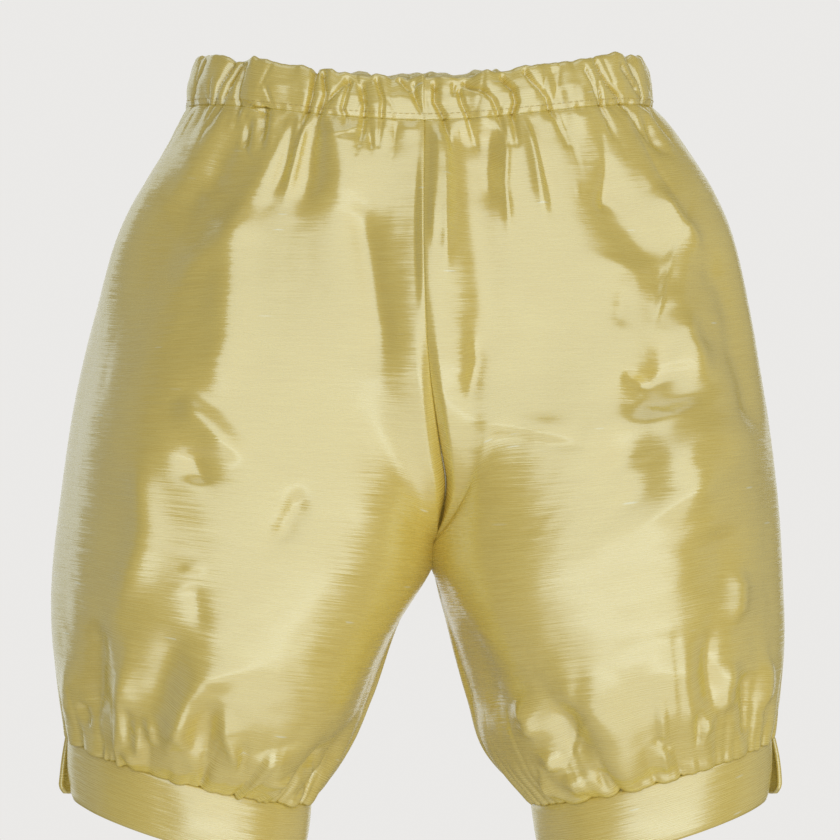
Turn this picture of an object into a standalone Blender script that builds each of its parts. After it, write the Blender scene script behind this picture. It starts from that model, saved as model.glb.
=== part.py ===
"""Gold silk knee breeches, filled out as worn: two full legs gathered into an elastic casing at the waist
and into a plain band at each knee.

Metres, +Z up. The front faces -Y and the wearer's left leg is at +X. The origin is the middle of the
waist casing, at half its height, where the wearer holds the breeches up.
"""

import math

import bpy
import numpy as np

# Cloth and seams. The wall's directions turn level over LEVEL_RIM below the waist seam. At the centre seam
# the wall is mitred, to EDGE_REACH walls at most, and the panels stand clear of each other by the seam's gap.
WALL = 0.0015
SEAM_GAP = 0.0003
LEVEL_RIM = 0.020
EDGE_REACH = 2.8
SEAM_CLEARANCE_POWER = 6

# Waist casing: its height, and how its section stands in from the top of the legs
CASING_TOP = 0.0096
CASING_BOTTOM = -0.0104
WAIST_DIP = 0.0093
WAIST_DIP_POWER = 1.5
WAIST_DIP_LENGTH = 0.070
CASING_TOP_DIP = 0.0030
CASING_SCALLOP = 0.0007
CASING_COLUMNS = ("height", "inset", "gather_share")
CASING_OUTSIDE = (
    (CASING_BOTTOM, 0.0000, 1.0),
    (-0.0020, 0.0005, 1.0),
    (0.0055, 0.0032, 1.1),
    (CASING_TOP, 0.0076, 0.8),
)
CASING_INSIDE = (
    (0.0082, 0.0097, 0.7),
    (0.0000, 0.0045, 1.0),
    (CASING_BOTTOM, 0.0030, 1.0),
)

# Legs: a row for each section from the waist seam down to the seam of the knee band.
# Heights at the side and at the inner edge, the side and inner edge of each leg across,
# how far the front and the back stand out, and how much the section rises towards the back.
LEG_COLUMNS = (
    "side_z", "inner_z", "right_side", "left_side", "right_inner", "left_inner",
    "front", "back", "pitch",
)
LEG_SECTIONS = (
    (-0.0107, -0.0107, -0.1036, 0.1032, 0.0060, 0.0060, 0.0765, 0.0740, 0.000),
    (-0.0300, -0.0300, -0.1136, 0.1210, 0.0060, 0.0060, 0.0825, 0.0820, 0.000),
    (-0.0510, -0.0510, -0.1260, 0.1330, 0.0060, 0.0060, 0.0880, 0.0895, 0.000),
    (-0.0870, -0.0880, -0.1408, 0.1443, 0.0060, 0.0060, 0.0945, 0.0990, 0.000),
    (-0.1320, -0.1370, -0.1532, 0.1526, 0.0060, 0.0060, 0.1000, 0.1050, 0.000),
    (-0.1900, -0.2080, -0.1620, 0.1612, 0.0060, 0.0060, 0.0950, 0.0990, 0.000),
    (-0.2220, -0.2430, -0.1656, 0.1628, -0.0100, 0.0122, 0.0895, 0.0915, 0.010),
    (-0.2500, -0.2750, -0.1654, 0.1641, -0.0210, 0.0206, 0.0790, 0.0800, 0.036),
    (-0.2750, -0.3020, -0.1612, 0.1615, -0.0338, 0.0305, 0.0620, 0.0630, 0.062),
    (-0.2923, -0.3212, -0.1580, 0.1578, -0.0490, 0.0495, 0.0450, 0.0450, 0.078),
)
HIP_SQUARENESS = 2.6
FORK_SQUARENESS = 2.9
KNEE_SQUARENESS = 2.0
CROTCH_CURVE_TOP = -0.050
CROTCH_CURVE_POWER = 2.2
CROTCH_CURVE_SPREAD = 4
FORK_ROW = 5
OUTLINE_STEPS = 360
OUTLINE_CROWDING = 1.5
SLOPE_STEP = 0.0012

# Centre front seam: it drifts to the wearer's left on its way down, then back to the fork
FRONT_SEAM_COLUMNS = ("height", "across")
FRONT_SEAM = (
    (-0.0107, 0.0020),
    (-0.0870, 0.0020),
    (-0.1310, 0.0045),
    (-0.1630, 0.0090),
    (-0.1770, 0.0112),
    (-0.2080, 0.0060),
)

# Gathers
WAIST_GATHERS = 13
WAIST_GATHER_HEIGHT = 0.0026
WAIST_GATHER_LENGTH = 0.050
BAND_FOLDS = 9
BAND_FOLD_HEIGHT = 0.0038
BAND_FOLD_LENGTH = 0.046
BAND_FOLD_START = 0.3
CREASE_END = 0.010
BAND_PUCKERS = 26
BAND_PUCKER_HEIGHT = 0.0012
BAND_PUCKER_LENGTH = 0.013
GATHER_FADE = 1.4
GATHER_UNEVEN = 0.45
GATHER_UNEVEN_FINE = 0.25

# Waves that vary the gathers: the share of the panel's phase, and the turn from one gather to the next
GATHER_WAVES = {"width": (1.0, 2.4), "fine_width": (1.7, 5.1), "size": (3.1, 4.3)}
PANEL_PHASES = {
    ("right", "front"): 1.0,
    ("right", "back"): 2.4,
    ("left", "front"): 3.6,
    ("left", "back"): 5.0,
}

# Largest creases of each panel. Each runs from one place to another, by its share of the way from the
# inner edge to the side and its drop below the waist seam. A rise below 0 is a trough.
CREASE_COLUMNS = ("from_share", "from_drop", "to_share", "to_drop", "half_width", "rise")
CREASES = {
    ("right", "front"): (
        (0.54, 0.000, 0.24, 0.060, 0.012, 0.0028),
        (0.27, 0.000, 0.21, 0.054, 0.006, -0.0028),
        (0.39, 0.006, 0.33, 0.037, 0.006, -0.0024),
        (0.08, 0.050, 0.09, 0.130, 0.014, -0.0026),
        (0.66, 0.100, 0.38, 0.155, 0.015, -0.0030),
        (0.37, 0.229, 0.50, 0.240, 0.008, 0.0026),
        (0.50, 0.240, 0.54, 0.275, 0.006, 0.0030),
        (0.58, 0.215, 0.56, 0.262, 0.008, -0.0030),
    ),
    ("left", "front"): (
        (0.15, 0.000, 0.13, 0.103, 0.009, -0.0030),
        (0.22, 0.004, 0.20, 0.057, 0.006, -0.0024),
        (0.52, 0.004, 0.53, 0.046, 0.007, -0.0030),
        (0.64, 0.020, 0.82, 0.090, 0.010, 0.0028),
        (0.82, 0.090, 0.88, 0.150, 0.012, 0.0026),
        (0.10, 0.134, 0.36, 0.143, 0.014, -0.0022),
        (0.15, 0.190, 0.19, 0.250, 0.014, 0.0034),
        (0.34, 0.233, 0.43, 0.250, 0.008, 0.0026),
        (0.43, 0.250, 0.42, 0.276, 0.006, 0.0028),
        (0.60, 0.215, 0.57, 0.280, 0.007, -0.0034),
    ),
    ("right", "back"): (
        (0.14, 0.000, 0.17, 0.080, 0.008, -0.0030),
        (0.36, 0.004, 0.30, 0.050, 0.007, -0.0026),
        (0.62, 0.000, 0.74, 0.080, 0.011, 0.0028),
        (0.20, 0.170, 0.48, 0.134, 0.015, -0.0028),
        (0.30, 0.225, 0.34, 0.276, 0.008, 0.0030),
        (0.62, 0.215, 0.58, 0.278, 0.008, -0.0032),
    ),
    ("left", "back"): (
        (0.19, 0.000, 0.15, 0.070, 0.008, -0.0030),
        (0.44, 0.004, 0.40, 0.056, 0.008, -0.0026),
        (0.58, 0.000, 0.68, 0.060, 0.010, 0.0026),
        (0.18, 0.176, 0.52, 0.150, 0.015, -0.0028),
        (0.36, 0.220, 0.38, 0.274, 0.008, 0.0030),
        (0.66, 0.220, 0.60, 0.278, 0.007, -0.0030),
    ),
}
PANEL_WIDTH = 0.185
SEAM_SHARE = 0.05

# Placket and knee bands
PLACKET_LENGTH = 0.045
PLACKET_FLARE = 0.0016
PLACKET_OPEN = 0.0011
PLACKET_LIFT = 0.4
FLARE_SHARE = 0.16
FLARE_POWER = 1.5
BAND_HEIGHT = 0.0270
BAND_WALL = 0.0020
BAND_TAPER = 0.944
BAND_SHIFT = 0.0013
BAND_END_FLARE = 0.0050
BAND_CORNER = 0.0030
BAND_CORNER_SHARE = 0.04
BAND_STEPS = 24

# Rows of each panel, as distances below the waist seam at the side
DENSE_TOP_ROWS = (0.0000, 0.0060, 0.0160, 0.0320, 0.0540)
OPEN_ROWS = (0.0800, 0.1080, 0.1340, 0.1540, 0.1670, 0.1750, 0.1793, 0.2000, 0.2186, 0.2366)
DENSE_BAND_ROWS = (0.2516, 0.2616, 0.2696, 0.2766, 0.2816)
COLUMNS_PER_GATHER = 4
DENSE_COLUMNS = COLUMNS_PER_GATHER * WAIST_GATHERS
EVEN_COLUMNS_FROM = 0.050
EVEN_COLUMNS_LENGTH = 0.150
SAME_PLACE = 1e-9

# Places of the panels: the leg's side across, and the face's side along Y
LEGS = {"right": -1, "left": 1}
FACES = {"front": -1, "back": 1}

# Panels in their order round the waist, and whether each is followed from its side to its centre seam
WAIST_ORDER = (
    ("left", "front", False),
    ("left", "back", True),
    ("right", "back", False),
    ("right", "front", True),
)

SILK_COLOURS = {
    "panel": (0.74, 0.66, 0.36, 1.0),
    "casing": (0.72, 0.64, 0.33, 1.0),
    "band": (0.70, 0.62, 0.32, 1.0),
}
SILK_ROUGHNESS = 0.38


def columns_of(names, rows):
    """A table as one array for each named column."""
    return dict(zip(names, np.array(rows).T))


LEG = columns_of(LEG_COLUMNS, LEG_SECTIONS)
SEAM = columns_of(FRONT_SEAM_COLUMNS, FRONT_SEAM)
SIDE_TOP = LEG["side_z"][0]
SIDE_LENGTH = SIDE_TOP - LEG["side_z"][-1]
FORK_Z = LEG["inner_z"][FORK_ROW]
FORK_X = LEG["right_inner"][FORK_ROW]
FORK_DROP = SIDE_TOP - LEG["side_z"][FORK_ROW]
PLACKET_DROP = SIDE_LENGTH - PLACKET_LENGTH


def eased(share):
    """0 to 1 with flat ends."""
    share = np.clip(share, 0, 1)
    return share * share * (3 - 2 * share)


def smooth_line(at, stations, values):
    """A smooth curve through the values at rising stations, read at any place between them."""
    slopes = np.gradient(values, stations)
    low = np.clip(np.searchsorted(stations, at, side="right") - 1, 0, len(stations) - 2)
    step = stations[low + 1] - stations[low]
    part = (at - stations[low]) / step
    start = (1 + 2 * part) * (1 - part) ** 2 * values[low]
    end = part**2 * (3 - 2 * part) * values[low + 1]
    leave = part * (1 - part) ** 2 * step * slopes[low]
    arrive = part**2 * (part - 1) * step * slopes[low + 1]
    return start + end + leave + arrive


def section_at(leg, drop):
    """The leg's sizes at a distance below the waist seam, measured at the side."""
    stations = SIDE_TOP - LEG["side_z"]
    sizes = {name: smooth_line(drop, stations, LEG[name]) for name in LEG_COLUMNS}
    sizes["side"] = sizes[leg + "_side"]
    sizes["inner"] = sizes[leg + "_inner"]
    return sizes


def fork_share(inner_z, way):
    """0 where the legs are one hip oval, 1 where each leg is a ring: sudden at the crotch seam, slow beyond."""
    fall = np.clip((CROTCH_CURVE_TOP - inner_z) / (CROTCH_CURVE_TOP - FORK_Z), 0, 1)
    at_seam = 1 - math.sqrt(max(0.0, 1 - fall**CROTCH_CURVE_POWER))
    return eased(fall) + (at_seam - eased(fall)) * (1 - way) ** CROTCH_CURVE_SPREAD


def seam_place(face, z):
    """How far across the centre seam lies at a height."""
    if face == "front":
        return smooth_line(-z, -SEAM["height"], SEAM["across"])
    return FORK_X * eased((SIDE_TOP - z) / (SIDE_TOP - FORK_Z))


def ring_points(sizes, face, drop, way):
    """Half of the leg as a closed ring, from its inner edge to its side, rounder towards the knee."""
    middle = (sizes["side"] + sizes["inner"]) / 2
    reach = (sizes["side"] - sizes["inner"]) / 2
    below_fork = eased((drop - FORK_DROP) / (SIDE_LENGTH - FORK_DROP))
    at_fork = FORK_SQUARENESS + (HIP_SQUARENESS - FORK_SQUARENESS) * eased(2 * way)
    power = 2 / (at_fork + (KNEE_SQUARENESS - at_fork) * below_fork)
    across = np.cos(math.pi * way)
    out = np.sin(math.pi * way).clip(0)
    return middle - reach * np.sign(across) * np.abs(across) ** power, FACES[face] * sizes[face] * out**power


def row_outline(leg, face, drop):
    """One section of a panel, from its centre seam or inseam out to the side."""
    sizes = section_at(leg, drop)
    way = np.linspace(0, 1, OUTLINE_STEPS) ** OUTLINE_CROWDING
    forked = fork_share(sizes["inner_z"], way) if drop < FORK_DROP else 1.0
    oval_turn = way * math.pi / 2
    power = 2 / HIP_SQUARENESS
    oval_x = sizes["side"] * np.sin(oval_turn) ** power
    oval_y = FACES[face] * sizes[face] * np.cos(oval_turn).clip(0) ** power
    ring_x, ring_y = ring_points(sizes, face, drop, way)
    x = (1 - forked) * oval_x + forked * ring_x
    y = (1 - forked) * oval_y + forked * ring_y
    if drop < FORK_DROP:
        x = x + (seam_place(face, sizes["inner_z"]) - x[0]) * (1 - way) ** 2
    across = np.clip((x - sizes["inner"]) / (sizes["side"] - sizes["inner"]), 0, 1)
    z = sizes["inner_z"] + (sizes["side_z"] - sizes["inner_z"]) * across + sizes["pitch"] * y
    if face == "front":
        dip = np.cos(np.clip(x / sizes["side"], -1, 1) * math.pi / 2) ** WAIST_DIP_POWER
        z = z - WAIST_DIP * dip * eased(1 - drop / WAIST_DIP_LENGTH)
    return np.column_stack([x, y, z])


def points_along(outline, shares):
    """Points at shares of an outline's length."""
    steps = np.linalg.norm(np.diff(outline, axis=0), axis=1)
    lengths = np.concatenate([[0.0], np.cumsum(steps)])
    places = lengths[-1] * np.asarray(shares)
    return np.column_stack([np.interp(places, lengths, outline[:, axis]) for axis in range(3)])


def gather_wave(kind, number, phase):
    """A value from -1 to 1 for each gather."""
    phase_share, turn = GATHER_WAVES[kind]
    return np.sin(phase_share * phase + turn * number)


def uneven_edges(count, phase):
    """Edges of side by side gathers over a panel, 0 to 1, no two widths alike."""
    number = np.arange(count)
    widths = 1 + GATHER_UNEVEN * gather_wave("width", number, phase)
    widths += GATHER_UNEVEN_FINE * gather_wave("fine_width", number, phase)
    return np.concatenate([[0.0], np.cumsum(widths / widths.sum())])


def uneven_size(number, phase):
    """A gather's own share of the full height or length, 0.5 to 1."""
    return 0.75 + 0.25 * gather_wave("size", number, phase)


def gather_rise(share, away, count, height, length, phase):
    """Rounded gathers side by side, fading at their own lengths away from their seam."""
    edges = uneven_edges(count, phase)
    number = np.clip(np.searchsorted(edges, share, side="right") - 1, 0, count - 1)
    part = (share - edges[number]) / (edges[number + 1] - edges[number])
    bump = 0.5 - 0.5 * np.cos(2 * math.pi * np.clip(part, 0, 1))
    own_length = length * uneven_size(number, phase + 1)
    fade = np.clip(1 - away / own_length, 0, 1) ** GATHER_FADE
    return height * uneven_size(number, phase) * bump * fade


def crease_rise(leg, face, share, drop):
    """The panel's largest creases, as soft ridges and troughs that die out at both ends and at seams."""
    table = columns_of(CREASE_COLUMNS, CREASES[leg, face])
    total = np.zeros(len(share))
    for number, rise in enumerate(table["rise"]):
        start = np.array((table["from_share"][number] * PANEL_WIDTH, table["from_drop"][number]))
        way = np.array((table["to_share"][number] * PANEL_WIDTH, table["to_drop"][number])) - start
        place = np.column_stack([share * PANEL_WIDTH, np.full(len(share), drop)]) - start
        along = np.clip(place @ way / (way @ way), 0, 1)
        away = np.linalg.norm(place - along[:, None] * way, axis=1)
        total += rise * np.exp(-((away / table["half_width"][number]) ** 2))
    return total * eased(share / SEAM_SHARE) * eased((1 - share) / SEAM_SHARE)


def cloth_rise(leg, face, share, drop):
    """How far the gathered and creased cloth stands out of the plain surface."""
    phase = PANEL_PHASES[leg, face]
    above_band = SIDE_LENGTH - drop
    waist = gather_rise(share, drop, WAIST_GATHERS, WAIST_GATHER_HEIGHT, WAIST_GATHER_LENGTH, phase)
    folds = gather_rise(share, above_band, BAND_FOLDS, BAND_FOLD_HEIGHT, BAND_FOLD_LENGTH, phase + 2)
    folds = folds * (BAND_FOLD_START + (1 - BAND_FOLD_START) * eased(above_band / BAND_PUCKER_LENGTH))
    pucker = 0.5 - 0.5 * np.cos(2 * math.pi * BAND_PUCKERS * share)
    pucker = BAND_PUCKER_HEIGHT * pucker * np.clip(1 - above_band / BAND_PUCKER_LENGTH, 0, 1)
    return waist + folds + pucker + crease_rise(leg, face, share, drop) * eased(above_band / CREASE_END)


def column_shares(leg, face, drop, dense):
    """Places of the columns: on the waist gathers' ridges and valleys at the top, even at the band."""
    edges = uneven_edges(WAIST_GATHERS, PANEL_PHASES[leg, face])
    parts = np.arange(DENSE_COLUMNS + 1) / COLUMNS_PER_GATHER
    at_gathers = np.interp(parts, np.arange(WAIST_GATHERS + 1), edges)
    even = np.linspace(0, 1, DENSE_COLUMNS + 1)
    mixed = at_gathers + (even - at_gathers) * eased((drop - EVEN_COLUMNS_FROM) / EVEN_COLUMNS_LENGTH)
    return mixed if dense else mixed[::2]


def open_placket(points, leg, face, shares, drop):
    """Below the placket's top the two side edges part, and the back one flares out."""
    part = eased((drop - PLACKET_DROP) / PLACKET_LENGTH)
    near = eased((shares - 1 + FLARE_SHARE) / FLARE_SHARE)
    points = points.copy()
    points[:, 1] += FACES[face] * PLACKET_OPEN * part * near
    if face == "back":
        points[:, 0] += LEGS[leg] * PLACKET_FLARE * part * near**FLARE_POWER
        points[:, 2] += PLACKET_LIFT * PLACKET_FLARE * part * near
    return points


def normals_of(rows_before, rows_after, row):
    """Outward directions along a row, from its neighbours and from the rows on both sides."""
    along = np.gradient(row, axis=0)
    down = rows_after - rows_before
    normals = np.cross(along, down)
    return normals / np.linalg.norm(normals, axis=1, keepdims=True)


def across_edge(down, leg):
    """The outward direction at an inseam or side edge, square to the edge and to the other panel."""
    out = np.cross(down, (0.0, 1.0, 0.0))
    return out / np.linalg.norm(out) * np.sign(out[0] * LEGS[leg])


def centre_edge(down, face, at_fork):
    """The direction of the wall at the centre seam, in the seam's own plane."""
    curve = np.array((0.0, down[1], down[2])) / np.linalg.norm(down[1:])
    if at_fork:
        curve = np.array((0.0, -FACES[face], 0.0))
    return np.array((0.0, -curve[2], curve[1])) * -FACES[face]


def row_of_panel(leg, face, drop, dense):
    """Outer and inner points of one row."""
    shares = column_shares(leg, face, drop, dense)
    plain = points_along(row_outline(leg, face, drop), shares)
    above = points_along(row_outline(leg, face, max(drop - SLOPE_STEP, 0.0)), shares)
    below = points_along(row_outline(leg, face, min(drop + SLOPE_STEP, SIDE_LENGTH)), shares)
    down = below - above
    normals = normals_of(above, below, plain)
    normals = normals * np.sign(LEGS[leg] * normals[-1, 0])
    normals[:, 2] *= eased(drop / LEVEL_RIM)
    normals = normals / np.linalg.norm(normals, axis=1, keepdims=True)
    normals[-1] = across_edge(down[-1], leg)
    outer = plain + normals * cloth_rise(leg, face, shares, drop)[:, None]
    thick = np.full(len(shares), WALL)
    inward = -normals
    at_fork = abs(drop - FORK_DROP) < SAME_PLACE
    if at_fork or drop < FORK_DROP:
        inward[0] = centre_edge(down[0], face, at_fork)
        facing = abs(float(np.dot(normals[1], inward[0])))
        thick[0] = WALL * min(1 / max(facing, SAME_PLACE), EDGE_REACH)
        outer[:, 0] += LEGS[leg] * SEAM_GAP / 2 * (1 - shares) ** SEAM_CLEARANCE_POWER
    else:
        inward[0] = across_edge(down[0], leg)
    if at_fork or drop > FORK_DROP:
        outer[0, 1] += FACES[face] * SEAM_GAP / 2
    outer[-1, 1] += FACES[face] * SEAM_GAP / 2
    outer = open_placket(outer, leg, face, shares, drop)
    return outer, outer + inward * thick[:, None]


def strip_faces(first, second, closed):
    """Triangles between two rows of vertex numbers. One row may have twice the steps of the other."""
    if closed:
        first = np.append(first, first[0])
        second = np.append(second, second[0])
    faces = []
    if len(first) == len(second):
        for i in range(len(first) - 1):
            faces.append((first[i], first[i + 1], second[i]))
            faces.append((first[i + 1], second[i + 1], second[i]))
        return faces
    fine, coarse = (first, second) if len(first) > len(second) else (second, first)
    for i in range(len(coarse) - 1):
        a, b, c = fine[2 * i], fine[2 * i + 1], fine[2 * i + 2]
        made = [(a, b, coarse[i]), (b, coarse[i + 1], coarse[i]), (b, c, coarse[i + 1])]
        if fine is second:
            made = [face[::-1] for face in made]
        faces += made
    return faces


def wall_faces(outer_rows, inner_rows, closed):
    """Faces of a wall between an outer and an inner set of rows, with its rims."""
    count = 0
    numbered = []
    for row in list(outer_rows) + list(inner_rows):
        numbered.append(np.arange(count, count + len(row)))
        count += len(row)
    outer = numbered[: len(outer_rows)]
    inner = numbered[len(outer_rows):]
    faces = []
    for first, second in zip(outer, outer[1:]):
        faces += strip_faces(first, second, closed)
    for first, second in zip(inner, inner[1:]):
        faces += [face[::-1] for face in strip_faces(first, second, closed)]
    faces += strip_faces(inner[0], outer[0], closed)
    faces += strip_faces(outer[-1], inner[-1], closed)
    if not closed:
        for end in (0, -1):
            outer_edge = np.array([row[end] for row in outer])
            inner_edge = np.array([row[end] for row in inner])
            rim = strip_faces(outer_edge, inner_edge, False)
            faces += rim if end == 0 else [face[::-1] for face in rim]
    return faces


def silk(name, colour):
    """A glossy silk material of its own."""
    material = bpy.data.materials.new(name)
    material.use_nodes = True
    shader = material.node_tree.nodes["Principled BSDF"]
    shader.inputs["Base Color"].default_value = colour
    shader.inputs["Roughness"].default_value = SILK_ROUGHNESS
    shader.inputs["Metallic"].default_value = 0.0
    return material


def make_wall(name, outer_rows, inner_rows, closed, collection, material):
    """One closed solid from its outer and inner rows of points."""
    faces = wall_faces(outer_rows, inner_rows, closed)
    points = np.vstack(list(outer_rows) + list(inner_rows))
    corners = points[np.array(faces)]
    volume = np.einsum("ij,ij->i", corners[:, 0], np.cross(corners[:, 1], corners[:, 2])).sum()
    if volume < 0:
        faces = [face[::-1] for face in faces]
    mesh = bpy.data.meshes.new(name)
    mesh.from_pydata(points.tolist(), [], [tuple(int(i) for i in face) for face in faces])
    mesh.shade_smooth()
    mesh.materials.append(material)
    piece = bpy.data.objects.new(name, mesh)
    collection.objects.link(piece)
    return piece


def make_panel(leg, face, collection):
    """A front or back panel, gathered at the waist and at the knee band."""
    rows = [(drop, True) for drop in DENSE_TOP_ROWS]
    rows += [(drop, False) for drop in OPEN_ROWS]
    rows += [(drop, True) for drop in DENSE_BAND_ROWS]
    built = [row_of_panel(leg, face, drop, dense) for drop, dense in rows]
    material = silk(f"silk_{leg}_leg_{face}", SILK_COLOURS["panel"])
    outer_rows = [outer for outer, inner in built]
    inner_rows = [inner for outer, inner in built]
    return make_wall(f"{leg}_leg_{face}", outer_rows, inner_rows, False, collection, material)


def waist_ring():
    """The gathered top of the four panels as one loop, with outward directions and rises."""
    points, outward, rises = [], [], []
    for leg, face, from_side in WAIST_ORDER:
        shares = column_shares(leg, face, 0.0, True)
        plain = points_along(row_outline(leg, face, 0.0), shares)
        along = np.gradient(plain, axis=0)
        out = np.column_stack([along[:, 1], -along[:, 0], np.zeros(len(along))])
        out = out / np.linalg.norm(out, axis=1, keepdims=True)
        out = out * np.sign(np.sum(out * plain, axis=1))[:, None]
        rise = cloth_rise(leg, face, shares, 0.0)
        way = slice(None, None, -1) if from_side else slice(None)
        points.append(plain[way][:-1])
        outward.append(out[way][:-1])
        rises.append(rise[way][:-1])
    return np.vstack(points), np.vstack(outward), np.concatenate(rises)


def make_casing(collection):
    """The casing with its elastic: a closed ring whose gathers run on from the legs."""
    plain, outward, rises = waist_ring()
    level = plain[:, 2] - SIDE_TOP
    rings = []
    for rows in (CASING_OUTSIDE, CASING_INSIDE):
        table = columns_of(CASING_COLUMNS, rows)
        rings.append([])
        for height, inset, gather_share in zip(table["height"], table["inset"], table["gather_share"]):
            ring = plain + outward * (rises * gather_share - inset)[:, None]
            crown = eased((height - CASING_BOTTOM) / (CASING_TOP - CASING_BOTTOM))
            ring[:, 2] = height + level * (1 + crown * CASING_TOP_DIP / WAIST_DIP)
            ring[:, 2] += crown * CASING_SCALLOP * (rises / WAIST_GATHER_HEIGHT * 2 - 1)
            rings[-1].append(ring)
    outside, inside = rings
    material = silk("silk_waist_casing", SILK_COLOURS["casing"])
    return make_wall("waist_casing", outside, inside[::-1], True, collection, material)


def band_half(leg, face):
    """The band's seam edge over one face, from the inseam to the placket, flared as the panel is."""
    shares = np.linspace(0, 1, BAND_STEPS + 1)
    plain = points_along(row_outline(leg, face, SIDE_LENGTH), shares)
    plain[-1, 1] += FACES[face] * SEAM_GAP / 2
    return open_placket(plain, leg, face, shares, SIDE_LENGTH), shares


def make_band(leg, collection):
    """A knee band: a plain ring below the gathers, split at the outer side."""
    front, front_shares = band_half(leg, "front")
    back, back_shares = band_half(leg, "back")
    top = np.vstack([front[::-1], back[1:]])
    share = np.concatenate([front_shares[::-1], back_shares[1:]])
    middle = top.mean(axis=0)
    along = np.gradient(top, axis=0)
    out = np.column_stack([along[:, 1], -along[:, 0], np.zeros(len(along))])
    out = out / np.linalg.norm(out, axis=1, keepdims=True)
    out = out * np.sign(np.sum(out * (top - middle), axis=1))[:, None]
    back_end = np.concatenate([np.zeros(len(front)), eased(1 - (1 - back_shares[1:]) / FLARE_SHARE)])
    corner = eased(1 - (1 - share) / BAND_CORNER_SHARE) * BAND_CORNER
    outer_rows = []
    for part in (0.0, 0.5, 1.0):
        row = top.copy()
        narrow = 1 - (1 - BAND_TAPER) * part
        row[:, :2] = middle[:2] + (top[:, :2] - middle[:2]) * narrow
        row[:, 0] += LEGS[leg] * (BAND_SHIFT * part + BAND_END_FLARE * part * back_end)
        row[:, 2] = top[:, 2] - SEAM_GAP - BAND_HEIGHT * part + corner * (part == 1.0)
        outer_rows.append(row)
    inner_rows = [row - out * BAND_WALL for row in outer_rows]
    material = silk(f"silk_{leg}_knee_band", SILK_COLOURS["band"])
    return make_wall(f"{leg}_knee_band", outer_rows, inner_rows, False, collection, material)


def main():
    for old in list(bpy.data.objects):
        bpy.data.objects.remove(old, do_unlink=True)
    collection = bpy.data.collections.new("knee_breeches")
    bpy.context.scene.collection.children.link(collection)
    for leg in LEGS:
        for face in FACES:
            make_panel(leg, face, collection)
        make_band(leg, collection)
    make_casing(collection)


main()
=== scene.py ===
"""Gold silk knee breeches, filled out as worn: the cloth that is seen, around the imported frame.

Metres, +Z up. The front faces -Y and the wearer's left leg is at +X.
"""

import math

import bpy
import numpy as np
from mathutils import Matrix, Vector


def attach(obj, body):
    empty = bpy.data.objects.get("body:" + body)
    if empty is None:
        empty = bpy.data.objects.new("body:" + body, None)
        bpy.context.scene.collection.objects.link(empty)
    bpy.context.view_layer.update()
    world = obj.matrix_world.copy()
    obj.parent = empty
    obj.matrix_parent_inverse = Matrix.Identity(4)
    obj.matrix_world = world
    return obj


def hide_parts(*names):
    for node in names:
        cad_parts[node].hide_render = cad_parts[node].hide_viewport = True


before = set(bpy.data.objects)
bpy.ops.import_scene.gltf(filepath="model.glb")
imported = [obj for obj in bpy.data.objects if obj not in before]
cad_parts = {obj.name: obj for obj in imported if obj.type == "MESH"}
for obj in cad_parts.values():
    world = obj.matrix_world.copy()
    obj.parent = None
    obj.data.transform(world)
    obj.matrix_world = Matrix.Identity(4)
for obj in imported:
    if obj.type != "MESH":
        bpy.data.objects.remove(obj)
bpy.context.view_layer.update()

# The cut: the same surfaces as the part's solids
CLOTH = 0.00045
LEG_COLUMNS = (
    "side_z", "inner_z", "right_side", "left_side", "right_inner", "left_inner",
    "front", "back", "pitch",
)
LEG_SECTIONS = (
    (-0.0107, -0.0107, -0.1036, 0.1032, 0.0060, 0.0060, 0.0765, 0.0740, 0.000),
    (-0.0300, -0.0300, -0.1136, 0.1210, 0.0060, 0.0060, 0.0825, 0.0820, 0.000),
    (-0.0510, -0.0510, -0.1260, 0.1330, 0.0060, 0.0060, 0.0880, 0.0895, 0.000),
    (-0.0870, -0.0880, -0.1408, 0.1443, 0.0060, 0.0060, 0.0945, 0.0990, 0.000),
    (-0.1320, -0.1370, -0.1532, 0.1526, 0.0060, 0.0060, 0.1000, 0.1050, 0.000),
    (-0.1900, -0.2080, -0.1620, 0.1612, 0.0060, 0.0060, 0.0950, 0.0990, 0.000),
    (-0.2220, -0.2430, -0.1656, 0.1628, -0.0100, 0.0122, 0.0895, 0.0915, 0.010),
    (-0.2500, -0.2750, -0.1654, 0.1641, -0.0210, 0.0206, 0.0790, 0.0800, 0.036),
    (-0.2750, -0.3020, -0.1612, 0.1615, -0.0338, 0.0305, 0.0620, 0.0630, 0.062),
    (-0.2923, -0.3212, -0.1580, 0.1578, -0.0490, 0.0495, 0.0450, 0.0450, 0.078),
)
HIP_SQUARENESS = 2.6
FORK_SQUARENESS = 2.9
KNEE_SQUARENESS = 2.0
CROTCH_CURVE_TOP = -0.050
CROTCH_CURVE_POWER = 2.2
CROTCH_CURVE_SPREAD = 4
FORK_ROW = 5
OUTLINE_STEPS = 360
OUTLINE_CROWDING = 1.5
FRONT_SEAM_COLUMNS = ("height", "across")
FRONT_SEAM = (
    (-0.0107, 0.0020),
    (-0.0870, 0.0020),
    (-0.1310, 0.0045),
    (-0.1630, 0.0090),
    (-0.1770, 0.0112),
    (-0.2080, 0.0060),
)
WAIST_DIP = 0.0093
WAIST_DIP_POWER = 1.5
WAIST_DIP_LENGTH = 0.070
LEVEL_RIM = 0.020
PANEL_WIDTH = 0.185
PLACKET_LENGTH = 0.045
PLACKET_FLARE = 0.0016
PLACKET_OPEN = 0.0011
PLACKET_LIFT = 0.4
FLARE_SHARE = 0.16
FLARE_POWER = 1.5
BAND_HEIGHT = 0.0270
BAND_WALL = 0.0019
BAND_TAPER = 0.944
BAND_SHIFT = 0.0013
BAND_END_FLARE = 0.0050
BAND_CORNER = 0.0030
BAND_CORNER_SHARE = 0.04
LEGS = {"right": -1, "left": 1}
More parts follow.
